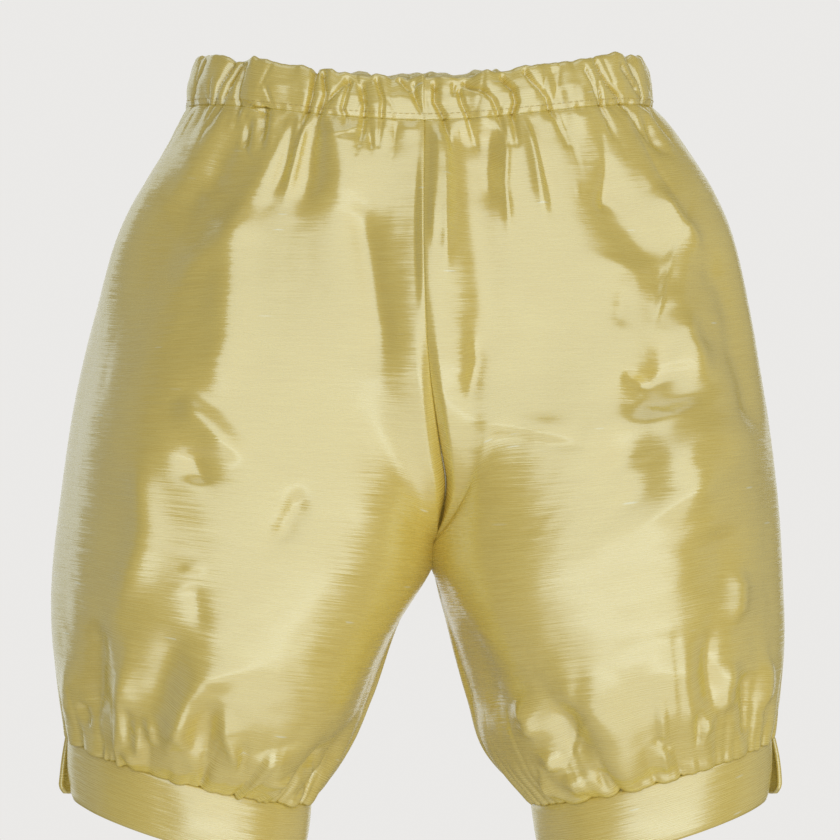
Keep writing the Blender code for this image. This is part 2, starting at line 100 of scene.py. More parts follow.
FACES = {"front": -1, "back": 1}

# Grid of each panel: columns crowd towards the seams, rows towards the casing and the band
EVEN_REACH = 0.022
PANEL_COLUMNS = 184
COLUMN_CROWDING = 0.35
ROW_STEPS = ((0.000, 0.0008), (0.030, 0.0010), (0.060, 0.0014), (0.200, 0.0014), (0.235, 0.0009), (0.2816, 0.0007))

# Creases of the gathered waist in each front panel: half width, depth, and the line that each follows, as
# (share of the way from the centre seam to the side, height above the waist seam)
CREASES = {
    "right": (
        (0.0009, 0.0009, ((0.735, 0.0174), (0.794, 0.0013), (0.803, -0.0060))),
        (0.0008, 0.0015, ((0.612, 0.0183), (0.656, 0.0008), (0.661, -0.0050))),
        (0.0008, 0.0015, ((0.576, 0.0185), (0.621, 0.0004), (0.629, -0.0080))),
        (0.0012, 0.0011, ((0.554, 0.0178), (0.565, 0.0034), (0.554, -0.0009), (0.546, -0.0080))),
        (0.0008, 0.0010, ((0.558, 0.0025), (0.515, 0.0004), (0.472, -0.0017))),
        (0.0016, 0.0018, ((0.481, 0.0016), (0.465, -0.0029), (0.442, -0.0160))),
        (0.0009, 0.0016, ((0.323, 0.0209), (0.326, 0.0078), (0.341, -0.0011), (0.350, -0.0140))),
        (0.0009, 0.0015, ((0.296, 0.0182), (0.284, 0.0093), (0.302, 0.0008), (0.306, -0.0050))),
        (0.0009, 0.0012, ((0.223, 0.0171), (0.261, 0.0092), (0.299, 0.0017), (0.307, -0.0040))),
        (0.0008, 0.0010, ((0.217, 0.0167), (0.235, 0.0026), (0.223, -0.0007), (0.214, -0.0060))),
        (0.0012, 0.0013, ((0.180, 0.0154), (0.171, 0.0064), (0.174, -0.0002), (0.176, -0.0120))),
        (0.0009, 0.0010, ((0.137, 0.0176), (0.119, 0.0090), (0.122, 0.0029), (0.124, -0.0120))),
        (0.0009, 0.0010, ((0.073, 0.0184), (0.036, 0.0141), (0.013, 0.0033))),
        (0.0007, 0.0008, ((0.028, 0.0172), (0.025, 0.0111), (0.005, 0.0011))),
    ),
    "left": (
        (0.0009, 0.0016, ((0.030, 0.0171), (0.030, 0.0085), (0.057, -0.0003), (0.074, -0.0140))),
        (0.0008, 0.0009, ((0.086, 0.0169), (0.086, 0.0117))),
        (0.0009, 0.0012, ((0.101, 0.0146), (0.110, 0.0067), (0.128, -0.0004), (0.138, -0.0100))),
        (0.0009, 0.0014, ((0.119, 0.0171), (0.169, 0.0131), (0.199, 0.0084), (0.216, 0.0017), (0.228, -0.0120))),
        (0.0010, 0.0020, ((0.231, 0.0175), (0.261, 0.0119), (0.270, 0.0053), (0.258, -0.0011), (0.249, -0.0120))),
        (0.0009, 0.0015, ((0.301, 0.0178), (0.337, 0.0116), (0.365, 0.0056), (0.378, -0.0020), (0.388, -0.0140))),
        (0.0026, 0.0008, ((0.391, 0.0160), (0.413, 0.0018), (0.416, -0.0050))),
        (0.0008, 0.0010, ((0.493, 0.0160), (0.515, 0.0079), (0.533, -0.0000), (0.537, -0.0040))),
        (0.0009, 0.0015, ((0.533, 0.0104), (0.548, 0.0024), (0.544, -0.0027), (0.540, -0.0120))),
        (0.0009, 0.0017, ((0.541, 0.0177), (0.572, 0.0097), (0.623, 0.0029), (0.642, -0.0023), (0.662, -0.0140))),
        (0.0008, 0.0011, ((0.637, 0.0151), (0.691, 0.0077), (0.738, 0.0005), (0.769, -0.0120))),
        (0.0008, 0.0009, ((0.709, 0.0173), (0.746, 0.0010), (0.753, -0.0080))),
    ),
}
CREASE_LENGTH = 0.140
CREASE_SHOULDER = 4.5
CREASE_EVEN = 0.0006
CREASE_DEPTH = 2.1
SMALL_CREASES = 11
SMALL_CREASE_WIDTH = 0.0008
SMALL_CREASE_DEPTHS = (0.0003, 0.0008)
SMALL_CREASE_LEAN = 0.045
PILLOW = 0.0014
SEAM_PUCKER = 0.0028
SEAM_PUCKER_HEIGHT = 0.0007
SEAM_PUCKER_REACH = 0.0022
CASING_SEAM_DIP = 0.0002
CASING_SEAM_WIDTH = 0.0009

# Puckers drawn up by a gathered seam, for each panel: how many, height, length, unevenness and the shape of each
HEM_PUCKERS = ((19, 0.0022, 0.022), (11, 0.0034, 0.046))
WAIST_PUCKERS = ((17, 0.0012, 0.016), (9, 0.0022, 0.040))
PUCKER_UNEVEN = 0.80
PUCKER_ROUNDING = 0.7
BAND_SEAM_DIP = 0.0003
BAND_SEAM_WIDTH = 0.0009

# Folds: half width, rise (below 0 for a trough), and the line that each follows, as
# (share of the way from the centre seam or inseam to the side, distance below the waist seam)
FOLDS = {
    ("right", "front"): (
        (0.0083, 0.0030, ((0.352, 0.000), (0.402, 0.028), (0.472, 0.059), (0.579, 0.081))),
        (0.0093, -0.0050, ((0.548, 0.000), (0.568, 0.032), (0.663, 0.050))),
        (0.0151, 0.0048, ((0.556, 0.000), (0.599, 0.027), (0.669, 0.045))),
        (0.0096, 0.0048, ((0.416, 0.041), (0.440, 0.064), (0.416, 0.103), (0.446, 0.131))),
        (0.0022, -0.0021, ((0.507, 0.000), (0.495, 0.019))),
        (0.0015, -0.0009, ((0.529, 0.000), (0.483, 0.019), (0.453, 0.024))),
        (0.0040, -0.0036, ((0.371, 0.000), (0.368, 0.022), (0.378, 0.042))),
        (0.0025, 0.0026, ((0.334, 0.000), (0.339, 0.025), (0.342, 0.042))),
        (0.0076, -0.0047, ((0.321, 0.000), (0.298, 0.026), (0.295, 0.051))),
        (0.0123, 0.0050, ((0.252, 0.000), (0.212, 0.026), (0.205, 0.049))),
        (0.0021, -0.0024, ((0.159, 0.000), (0.139, 0.015))),
        (0.0070, 0.0050, ((0.193, 0.000), (0.183, 0.006))),
        (0.0068, -0.0046, ((0.160, 0.039), (0.130, 0.066), (0.100, 0.099), (0.095, 0.118))),
        (0.0032, -0.0005, ((0.479, 0.122), (0.420, 0.131), (0.357, 0.148))),
        (0.0062, 0.0046, ((0.513, 0.126), (0.445, 0.139), (0.390, 0.152))),
        (0.0058, -0.0045, ((0.490, 0.146), (0.487, 0.163))),
        (0.0018, 0.0005, ((0.580, 0.205), (0.558, 0.202), (0.530, 0.201))),
        (0.0018, 0.0012, ((0.572, 0.197), (0.532, 0.193))),
        (0.0067, 0.0048, ((0.585, 0.151), (0.629, 0.181), (0.675, 0.218))),
        (0.0033, -0.0013, ((0.552, 0.199), (0.520, 0.220))),
        (0.0039, -0.0034, ((0.288, 0.158), (0.436, 0.185))),
        (0.0056, 0.0046, ((0.416, 0.229), (0.470, 0.232), (0.506, 0.235), (0.526, 0.245),
                          (0.546, 0.255), (0.550, 0.266), (0.536, 0.276))),
        (0.0049, -0.0042, ((0.465, 0.240), (0.493, 0.252), (0.503, 0.266), (0.493, 0.276))),
        (0.0072, -0.0048, ((0.552, 0.217), (0.575, 0.238), (0.597, 0.256))),
        (0.0075, 0.0035, ((0.823, 0.240), (0.881, 0.263), (0.881, 0.276))),
        (0.0069, -0.0048, ((0.729, 0.219), (0.749, 0.248), (0.771, 0.273))),
        (0.0054, 0.0045, ((0.655, 0.232), (0.672, 0.253), (0.675, 0.273), (0.635, 0.281))),
        (0.0031, -0.0024, ((0.663, 0.252), (0.656, 0.271))),
        (0.0031, -0.0009, ((0.649, 0.256), (0.629, 0.270))),
        (0.0028, 0.0028, ((0.637, 0.258), (0.622, 0.277))),
        (0.0029, 0.0029, ((0.605, 0.255), (0.591, 0.270))),
        (0.0036, -0.0032, ((0.822, 0.261), (0.797, 0.273))),
        (0.0026, -0.0011, ((0.772, 0.255), (0.759, 0.271), (0.754, 0.278))),
        (0.0040, 0.0036, ((0.530, 0.244), (0.532, 0.259), (0.480, 0.277))),
        (0.0021, -0.0024, ((0.477, 0.248), (0.472, 0.267), (0.459, 0.278))),
        (0.0030, 0.0029, ((0.462, 0.243), (0.445, 0.256), (0.389, 0.272))),
        (0.0021, -0.0024, ((0.408, 0.255), (0.381, 0.274))),
        (0.0062, 0.0050, ((0.347, 0.257), (0.297, 0.276))),
        (0.0059, 0.0048, ((0.283, 0.268), (0.271, 0.278))),
        (0.0113, -0.0050, ((0.038, 0.259), (0.178, 0.264), (0.222, 0.273))),
        (0.0030, -0.0030, ((0.093, 0.270), (0.169, 0.278))),
        (0.0046, -0.0040, ((0.159, 0.260), (0.231, 0.270), (0.247, 0.278))),
    ),
    ("left", "front"): (
        (0.0045, 0.0032, ((0.041, 0.000), (0.031, 0.036), (0.019, 0.066))),
        (0.0036, 0.0033, ((0.059, 0.000), (0.056, 0.036), (0.049, 0.074))),
        (0.0095, -0.0050, ((0.125, 0.000), (0.115, 0.041), (0.127, 0.070), (0.127, 0.114))),
        (0.0028, 0.0023, ((0.232, 0.000), (0.200, 0.031), (0.197, 0.059))),
        (0.0049, -0.0028, ((0.190, 0.000), (0.164, 0.023), (0.152, 0.048))),
        (0.0038, 0.0035, ((0.293, 0.000), (0.286, 0.032), (0.286, 0.050))),
        (0.0019, -0.0022, ((0.301, 0.000), (0.304, 0.024), (0.306, 0.046))),
        (0.0003, 0.0003, ((0.377, 0.000), (0.381, 0.030), (0.391, 0.050))),
        (0.0123, -0.0048, ((0.451, 0.025), (0.486, 0.051), (0.556, 0.072), (0.621, 0.079))),
        (0.0024, -0.0025, ((0.397, 0.116), (0.424, 0.118), (0.462, 0.121))),
        (0.0017, -0.0004, ((0.518, 0.000), (0.488, 0.019), (0.490, 0.032))),
        (0.0028, 0.0010, ((0.487, 0.023), (0.470, 0.038), (0.502, 0.044))),
        (0.0043, -0.0029, ((0.497, 0.018), (0.467, 0.035), (0.440, 0.047))),
        (0.0060, 0.0046, ((0.597, 0.033), (0.637, 0.051), (0.700, 0.065))),
        (0.0025, -0.0007, ((0.629, 0.000), (0.643, 0.027), (0.673, 0.049))),
        (0.0029, 0.0001, ((0.731, 0.000), (0.727, 0.016))),
        (0.0043, -0.0035, ((0.704, 0.000), (0.691, 0.014), (0.717, 0.021))),
        (0.0104, -0.0048, ((0.674, 0.059), (0.749, 0.080), (0.756, 0.104), (0.742, 0.148))),
        (0.0056, 0.0019, ((0.375, 0.067), (0.485, 0.073), (0.633, 0.066))),
        (0.0079, 0.0047, ((0.568, 0.087), (0.593, 0.108), (0.606, 0.121))),
        (0.0072, -0.0048, ((0.532, 0.099), (0.500, 0.112), (0.425, 0.128), (0.428, 0.140))),
        (0.0150, -0.0048, ((0.489, 0.111), (0.507, 0.123), (0.521, 0.134))),
        (0.0089, 0.0048, ((0.472, 0.138), (0.524, 0.157), (0.626, 0.178))),
        (0.0090, -0.0048, ((0.370, 0.133), (0.402, 0.153), (0.524, 0.176))),
        (0.0207, -0.0048, ((0.671, 0.088), (0.623, 0.118), (0.589, 0.146))),
        (0.0055, 0.0037, ((0.765, 0.201), (0.737, 0.217), (0.719, 0.226))),
        (0.0159, -0.0048, ((0.693, 0.178), (0.706, 0.200), (0.713, 0.220))),
        (0.0011, 0.0017, ((0.595, 0.068), (0.556, 0.077), (0.496, 0.096))),
        (0.0045, -0.0014, ((0.449, 0.080), (0.409, 0.099))),
        (0.0024, -0.0014, ((0.094, 0.137), (0.152, 0.139), (0.229, 0.143), (0.322, 0.145))),
        (0.0056, 0.0027, ((0.072, 0.130), (0.132, 0.133), (0.212, 0.137), (0.310, 0.139))),
        (0.0047, -0.0038, ((0.098, 0.098), (0.101, 0.111), (0.064, 0.129))),
        (0.0151, 0.0048, ((0.092, 0.115), (0.120, 0.144), (0.140, 0.174), (0.160, 0.199))),
        (0.0142, -0.0048, ((0.081, 0.173), (0.161, 0.208), (0.161, 0.233), (0.136, 0.255))),
        (0.0110, 0.0050, ((0.332, 0.246), (0.384, 0.244), (0.417, 0.246),
                          (0.440, 0.256), (0.450, 0.267), (0.440, 0.283))),
        (0.0064, -0.0050, ((0.336, 0.240), (0.359, 0.251), (0.369, 0.263), (0.361, 0.273))),
        (0.0055, 0.0046, ((0.238, 0.240), (0.264, 0.248), (0.258, 0.258))),
        (0.0042, 0.0037, ((0.288, 0.261), (0.273, 0.271))),
        (0.0026, -0.0027, ((0.390, 0.271), (0.373, 0.278))),
        (0.0045, 0.0039, ((0.201, 0.274), (0.231, 0.279))),
        (0.0061, 0.0050, ((0.315, 0.271), (0.313, 0.281))),
        (0.0025, -0.0026, ((0.534, 0.262), (0.556, 0.272))),
        (0.0073, -0.0050, ((0.479, 0.276), (0.467, 0.286))),
        (0.0072, -0.0050, ((0.549, 0.276), (0.536, 0.287))),
        (0.0021, -0.0009, ((0.590, 0.218), (0.587, 0.237), (0.592, 0.257), (0.574, 0.272))),
        (0.0095, 0.0048, ((0.595, 0.224), (0.592, 0.238), (0.602, 0.252), (0.639, 0.265), (0.659, 0.271))),
        (0.0021, 0.0024, ((0.548, 0.243), (0.548, 0.263), (0.535, 0.285))),
        (0.0026, -0.0027, ((0.625, 0.253), (0.633, 0.267), (0.623, 0.277))),
        (0.0032, 0.0026, ((0.674, 0.259), (0.644, 0.267), (0.621, 0.277))),
        (0.0053, 0.0034, ((0.728, 0.238), (0.708, 0.253), (0.714, 0.264))),
        (0.0051, -0.0040, ((0.670, 0.222), (0.657, 0.241), (0.670, 0.262))),
        (0.0034, -0.0032, ((0.774, 0.260), (0.781, 0.276))),
        (0.0052, 0.0035, ((0.841, 0.239), (0.851, 0.255), (0.839, 0.268))),
        (0.0049, -0.0042, ((0.768, 0.246), (0.785, 0.266))),
    ),
}

# The hidden back has folds of the same kinds, laid out as the other leg's front
BACK_FOLD_SHIFT = 0.07
BACK_FOLD_SHARE = 0.85

SEAM_REACH = 0.022
WAIST_REACH = 0.011
SIDE_REACH = 0.16
SEAM_GROOVE = 0.0004
SEAM_GROOVE_WIDTH = 0.0009
FOLD_ROUNDING = ((0.0020, 0.0080), (0.25, 0.9))
FOLD_TAIL = 0.6

# Swells of each front panel: share across, distance below the waist seam, and rise. The back has the other leg's
SWELL_WIDTH = 0.026
SWELL_LENGTH = 0.034
BACK_SWELL_SHARE = 0.6
SWELLS = {
    "right": (
        (0.07, 0.060, -0.0042), (0.08, 0.105, 0.0018), (0.07, 0.150, 0.0042), (0.16, 0.190, 0.0042),
        (0.10, 0.225, -0.0042), (0.26, 0.055, -0.0042), (0.26, 0.105, 0.0009), (0.28, 0.155, -0.0042),
        (0.28, 0.205, -0.0026), (0.26, 0.245, 0.0042), (0.46, 0.045, -0.0042), (0.46, 0.095, -0.0001),
        (0.47, 0.145, -0.0010), (0.46, 0.195, -0.0028), (0.46, 0.240, 0.0042), (0.64, 0.035, -0.0021),
        (0.66, 0.085, -0.0042), (0.66, 0.135, -0.0042), (0.65, 0.185, -0.0042), (0.64, 0.235, -0.0013),
        (0.80, 0.060, 0.0042), (0.80, 0.120, -0.0038), (0.80, 0.180, -0.0041), (0.80, 0.235, -0.0042),
    ),
    "left": (
        (0.07, 0.060, 0.0008), (0.08, 0.105, 0.0024), (0.07, 0.150, 0.0042), (0.15, 0.190, 0.0040),
        (0.12, 0.230, -0.0042), (0.24, 0.055, -0.0042), (0.26, 0.105, -0.0042), (0.26, 0.155, -0.0042),
        (0.28, 0.205, -0.0000), (0.28, 0.240, -0.0039), (0.44, 0.045, -0.0042), (0.45, 0.095, -0.0020),
        (0.45, 0.145, -0.0022), (0.46, 0.195, -0.0042), (0.45, 0.240, -0.0011), (0.63, 0.035, -0.0035),
        (0.65, 0.085, -0.0042), (0.65, 0.135, 0.0020), (0.65, 0.185, -0.0042), (0.64, 0.235, -0.0042),
        (0.80, 0.060, 0.0025), (0.80, 0.120, 0.0008), (0.80, 0.180, -0.0042), (0.80, 0.235, -0.0042),
    ),
}

# Gentle unevenness over the whole cloth: sizes of the waves across and down, and height
RIPPLES = ((0.045, 0.070, 0.0007), (0.016, 0.034, 0.00022), (0.006, 0.012, 0.00006))
RIPPLE_SEEDS = {("right", "front"): 11, ("left", "front"): 23, ("right", "back"): 37, ("left", "back"): 41}
CRUMPLE_CELL = 0.013
CRUMPLE_HEIGHT = 0.00030


def columns_of(names, rows):
    """A table as one array for each named column."""
    return dict(zip(names, np.array(rows, float).T))


LEG = columns_of(LEG_COLUMNS, LEG_SECTIONS)
SEAM = columns_of(FRONT_SEAM_COLUMNS, FRONT_SEAM)
SIDE_TOP = LEG["side_z"][0]
SIDE_LENGTH = SIDE_TOP - LEG["side_z"][-1]
FORK_Z = LEG["inner_z"][FORK_ROW]
FORK_X = LEG["right_inner"][FORK_ROW]
FORK_DROP = SIDE_TOP - LEG["side_z"][FORK_ROW]
PLACKET_DROP = SIDE_LENGTH - PLACKET_LENGTH


def eased(share):
    """0 to 1 with flat ends."""
    share = np.clip(share, 0, 1)
    return share * share * (3 - 2 * share)


def smooth_line(at, stations, values):
    """A smooth curve through the values at rising stations, read at any place between them."""
    slopes = np.gradient(values, stations)
    low = np.clip(np.searchsorted(stations, at, side="right") - 1, 0, len(stations) - 2)
    step = stations[low + 1] - stations[low]
    part = (at - stations[low]) / step
    start = (1 + 2 * part) * (1 - part) ** 2 * values[low]
    end = part**2 * (3 - 2 * part) * values[low + 1]
    leave = part * (1 - part) ** 2 * step * slopes[low]
    arrive = part**2 * (part - 1) * step * slopes[low + 1]
    return start + end + leave + arrive


def section_at(leg, drop):
    """The leg's sizes at a distance below the waist seam, measured at the side."""
    stations = SIDE_TOP - LEG["side_z"]
    sizes = {name: smooth_line(drop, stations, LEG[name]) for name in LEG_COLUMNS}
    sizes["side"] = sizes[leg + "_side"]
    sizes["inner"] = sizes[leg + "_inner"]
    return sizes


def fork_share(inner_z, way):
    """0 where the legs are one hip oval, 1 where each leg is a ring."""
    fall = np.clip((CROTCH_CURVE_TOP - inner_z) / (CROTCH_CURVE_TOP - FORK_Z), 0, 1)
    at_seam = 1 - math.sqrt(max(0.0, 1 - fall**CROTCH_CURVE_POWER))
    return eased(fall) + (at_seam - eased(fall)) * (1 - way) ** CROTCH_CURVE_SPREAD


def seam_place(face, z):
    """How far across the centre seam lies at a height."""
    if face == "front":
        return smooth_line(-z, -SEAM["height"], SEAM["across"])
    return FORK_X * eased((SIDE_TOP - z) / (SIDE_TOP - FORK_Z))


def ring_points(sizes, face, drop, way):
    """Half of the leg as a closed ring, from its inner edge to its side."""
    middle = (sizes["side"] + sizes["inner"]) / 2
    reach = (sizes["side"] - sizes["inner"]) / 2
    below_fork = eased((drop - FORK_DROP) / (SIDE_LENGTH - FORK_DROP))
    at_fork = FORK_SQUARENESS + (HIP_SQUARENESS - FORK_SQUARENESS) * eased(2 * way)
    power = 2 / (at_fork + (KNEE_SQUARENESS - at_fork) * below_fork)
    across = np.cos(math.pi * way)
    out = np.sin(math.pi * way).clip(0)
    return middle - reach * np.sign(across) * np.abs(across) ** power, FACES[face] * sizes[face] * out**power


def row_outline(leg, face, drop):
    """One section of a panel, from its centre seam or inseam out to the side."""
    sizes = section_at(leg, drop)
    way = np.linspace(0, 1, OUTLINE_STEPS) ** OUTLINE_CROWDING
    forked = fork_share(sizes["inner_z"], way) if drop < FORK_DROP else 1.0
    oval_turn = way * math.pi / 2
    power = 2 / HIP_SQUARENESS
    oval_x = sizes["side"] * np.sin(oval_turn) ** power
    oval_y = FACES[face] * sizes[face] * np.cos(oval_turn).clip(0) ** power
    ring_x, ring_y = ring_points(sizes, face, drop, way)
    x = (1 - forked) * oval_x + forked * ring_x
    y = (1 - forked) * oval_y + forked * ring_y
    if drop < FORK_DROP:
        x = x + (seam_place(face, sizes["inner_z"]) - x[0]) * (1 - way) ** 2
    across = np.clip((x - sizes["inner"]) / (sizes["side"] - sizes["inner"]), 0, 1)
    z = sizes["inner_z"] + (sizes["side_z"] - sizes["inner_z"]) * across + sizes["pitch"] * y
    if face == "front":
        dip = np.cos(np.clip(x / sizes["side"], -1, 1) * math.pi / 2) ** WAIST_DIP_POWER
        z = z - WAIST_DIP * dip * eased(1 - drop / WAIST_DIP_LENGTH)
    return np.column_stack([x, y, z])


def points_along(outline, shares):
    """Points at shares of an outline's length."""
    steps = np.linalg.norm(np.diff(outline, axis=0), axis=1)
    lengths = np.concatenate([[0.0], np.cumsum(steps)])
    places = lengths[-1] * np.asarray(shares)
    return np.column_stack([np.interp(places, lengths, outline[:, axis]) for axis in range(3)])


def column_places():
    """Places of a panel's columns, 0 at the centre seam and 1 at the side."""
    even = np.linspace(0, 1, PANEL_COLUMNS + 1)
    return even - COLUMN_CROWDING * np.sin(2 * math.pi * even) / (2 * math.pi)


def row_drops():
    """Distances of a panel's rows below the waist seam."""
    places = [0.0]
    stations, steps = np.array(ROW_STEPS).T
    while places[-1] < SIDE_LENGTH:
        places.append(places[-1] + np.interp(places[-1], stations, steps))
    places = np.array(places)
    return places * SIDE_LENGTH / places[-1]


def wave_noise(across, down, cell_across, cell_down, seed):
    """Smooth unevenness from -1 to 1 with waves of about that size."""
    random = np.random.default_rng(seed)
    values = random.uniform(-1, 1, (96, 96))
    u = across / cell_across + 3
    v = down / cell_down + 3
    iu, iv = np.floor(u).astype(int), np.floor(v).astype(int)
    fu, fv = eased(u - iu), eased(v - iv)
    iu, iv = iu % 95, iv % 95
    top = values[iv, iu] * (1 - fu) + values[iv, iu + 1] * fu
    low = values[iv + 1, iu] * (1 - fu) + values[iv + 1, iu + 1] * fu
    return top * (1 - fv) + low * fv


def crumple(across, down, seed):
    """Facets with soft edges, as stiff silk crumples: 0 on the edges to 1 in the middles."""
    random = np.random.default_rng(seed)
    wide, long = int(PANEL_WIDTH / CRUMPLE_CELL) + 2, int(SIDE_LENGTH / CRUMPLE_CELL) + 2
    spots = np.stack(np.meshgrid(np.arange(wide), np.arange(long)), -1).reshape(-1, 2).astype(float)
    spots = (spots + random.uniform(-0.45, 0.45, spots.shape)) * CRUMPLE_CELL * (1.0, 1.3)
    nearest = np.full(across.shape, 1.0)
    second = np.full(across.shape, 1.0)
    for x, y in spots:
        away = np.hypot(across - x, (down - y) / 1.3)
        second = np.minimum(second, np.maximum(away, nearest))
        nearest = np.minimum(nearest, away)
    return eased((second - nearest) / (0.8 * CRUMPLE_CELL))


def fold_rise(fold, across, down):
    """One fold laid along its line, fading at an end that stops on open cloth."""
    half_width, rise, line = fold
    line = np.array(line) * (PANEL_WIDTH, 1.0)
    lengths = np.concatenate([[0.0], np.cumsum(np.linalg.norm(np.diff(line, axis=0), axis=1))])
    best = np.full(across.shape, 1.0)
    place = np.zeros(across.shape)
    for number in range(len(line) - 1):
        start, way = line[number], line[number + 1] - line[number]
        along = np.clip(((across - start[0]) * way[0] + (down - start[1]) * way[1]) / (way @ way), 0, 1)
        away = np.hypot(across - start[0] - along * way[0], down - start[1] - along * way[1])
        nearer = away < best
        best = np.where(nearer, away, best)
        place = np.where(nearer, lengths[number] + along * (lengths[number + 1] - lengths[number]), place)
    fade = min(0.35 * lengths[-1], 0.018)
    size = np.ones(across.shape)
    if line[0, 1] > 0.002:
        size = size * (0.15 + 0.85 * eased(place / fade))
    if line[-1, 1] < SIDE_LENGTH - 0.004:
        size = size * (0.15 + 0.85 * eased((lengths[-1] - place) / fade))
    round_top = np.interp(half_width, *FOLD_ROUNDING) * half_width
    return rise * size * np.exp((round_top - np.hypot(best, round_top)) / (FOLD_TAIL * half_width))


def panel_folds(leg, face):
    """The folds of a panel. The back has the other leg's, moved and a little softer."""
    if face == "front":
        return FOLDS[leg, "front"]
    other = "left" if leg == "right" else "right"
    made = []
    for half_width, rise, line in FOLDS[other, "front"]:
        shift = BACK_FOLD_SHIFT if line[0][0] < 0.45 else -BACK_FOLD_SHIFT
        moved = tuple((share + shift, drop) for share, drop in line)
        made.append((half_width, rise * BACK_FOLD_SHARE, moved))
    return made


def panel_swells(leg, face):
    """The swells of a panel. The hidden back has the other leg's, softer."""
    if face == "front":
        return SWELLS[leg]
    other = "left" if leg == "right" else "right"
    return [(share, drop, rise * BACK_SWELL_SHARE) for share, drop, rise in SWELLS[other]]


def crease_table(leg, face):
    """The waist creases of a panel, with small ones between them. The hidden back has the other leg's."""
    random = np.random.default_rng(RIPPLE_SEEDS[leg, face] + 30)
    small = []
    for share in (np.arange(SMALL_CREASES) + random.uniform(0.1, 0.9, SMALL_CREASES)) / SMALL_CREASES:
        lean, top, low = random.uniform(-1, 1), random.uniform(0.009, 0.020), random.uniform(-0.003, 0.006)
        depth = random.uniform(*SMALL_CREASE_DEPTHS)
        small.append((SMALL_CREASE_WIDTH, depth, ((share + lean * SMALL_CREASE_LEAN, top), (share, low))))
    placed = CREASES[leg] if face == "front" else CREASES["left" if leg == "right" else "right"]
    return [(width, depth * CREASE_DEPTH, line) for width, depth, line in placed] + small


def crease_rise(leg, face, share, above):
    """Creases drawn up by the elastic, over the casing and on down the leg. above is the height over the waist seam."""
    across = share * CREASE_LENGTH
    total = np.zeros(share.shape)
    for half_width, depth, line in crease_table(leg, face):
        line = np.array(line) * (CREASE_LENGTH, 1.0)
        best = np.full(share.shape, 1.0)
        place = np.zeros(share.shape)
        lengths = np.concatenate([[0.0], np.cumsum(np.linalg.norm(np.diff(line, axis=0), axis=1))])
        for number in range(len(line) - 1):
            start, way = line[number], line[number + 1] - line[number]
            along = np.clip(((across - start[0]) * way[0] + (above - start[1]) * way[1]) / (way @ way), 0, 1)
            away = np.hypot(across - start[0] - along * way[0], above - start[1] - along * way[1])
            place = np.where(away < best, lengths[number] + along * (lengths[number + 1] - lengths[number]), place)
            best = np.minimum(best, away)
        fade = eased((lengths[-1] - place) / (0.5 * lengths[-1])) * 0.75 + 0.25
        if line[0, 1] < 0.013:
            fade = fade * (0.2 + 0.8 * eased(place / 0.004))
        sharp = np.exp(-((best / half_width) ** 2))
        broad = np.exp(-best / (CREASE_SHOULDER * half_width))
        total += (CREASE_EVEN - depth * (0.75 * sharp + 0.55 * broad)) * fade * np.exp(-((best / 0.02) ** 2))
    seed = RIPPLE_SEEDS[leg, face]
    total += PILLOW * wave_noise(across, above, 0.009, 0.022, seed + 20) * eased((above + 0.02) / 0.02)
    total += 0.00016 * wave_noise(across, above, 0.003, 0.006, seed + 21) * eased((above + 0.006) / 0.006)
    puckers = wave_noise(across, above * 0, SEAM_PUCKER, 1.0, seed + 22)
    return total + SEAM_PUCKER_HEIGHT * puckers * np.exp(-((above / SEAM_PUCKER_REACH) ** 2))


def pucker_rise(puckers, share, from_seam, seed):
    """Puckers of uneven width and length that run out from a gathered seam."""
    count, height, length = puckers
    random = np.random.default_rng(seed)
    widths = 1 + PUCKER_UNEVEN * random.uniform(-1, 1, count)
    edges = np.concatenate([[0.0], np.cumsum(widths / widths.sum())])
    sizes = random.uniform(0.3, 1.0, count)
    lengths = length * random.uniform(0.3, 1.2, count)
    lean = random.uniform(-1, 1) * 0.5 * from_seam
    number = np.clip(np.searchsorted(edges, np.clip(share + lean, 0, 1), side="right") - 1, 0, count - 1)
    part = (np.clip(share + lean, 0, 1) - edges[number]) / (edges[number + 1] - edges[number])
    fade = eased(1 - from_seam / lengths[number])
    bump = np.sin(math.pi * np.clip(part, 0, 1)).clip(0) ** PUCKER_ROUNDING
    return height * sizes[number] * (bump - 0.5) * fade * eased(share / SEAM_REACH) * eased((1 - share) / SEAM_REACH)


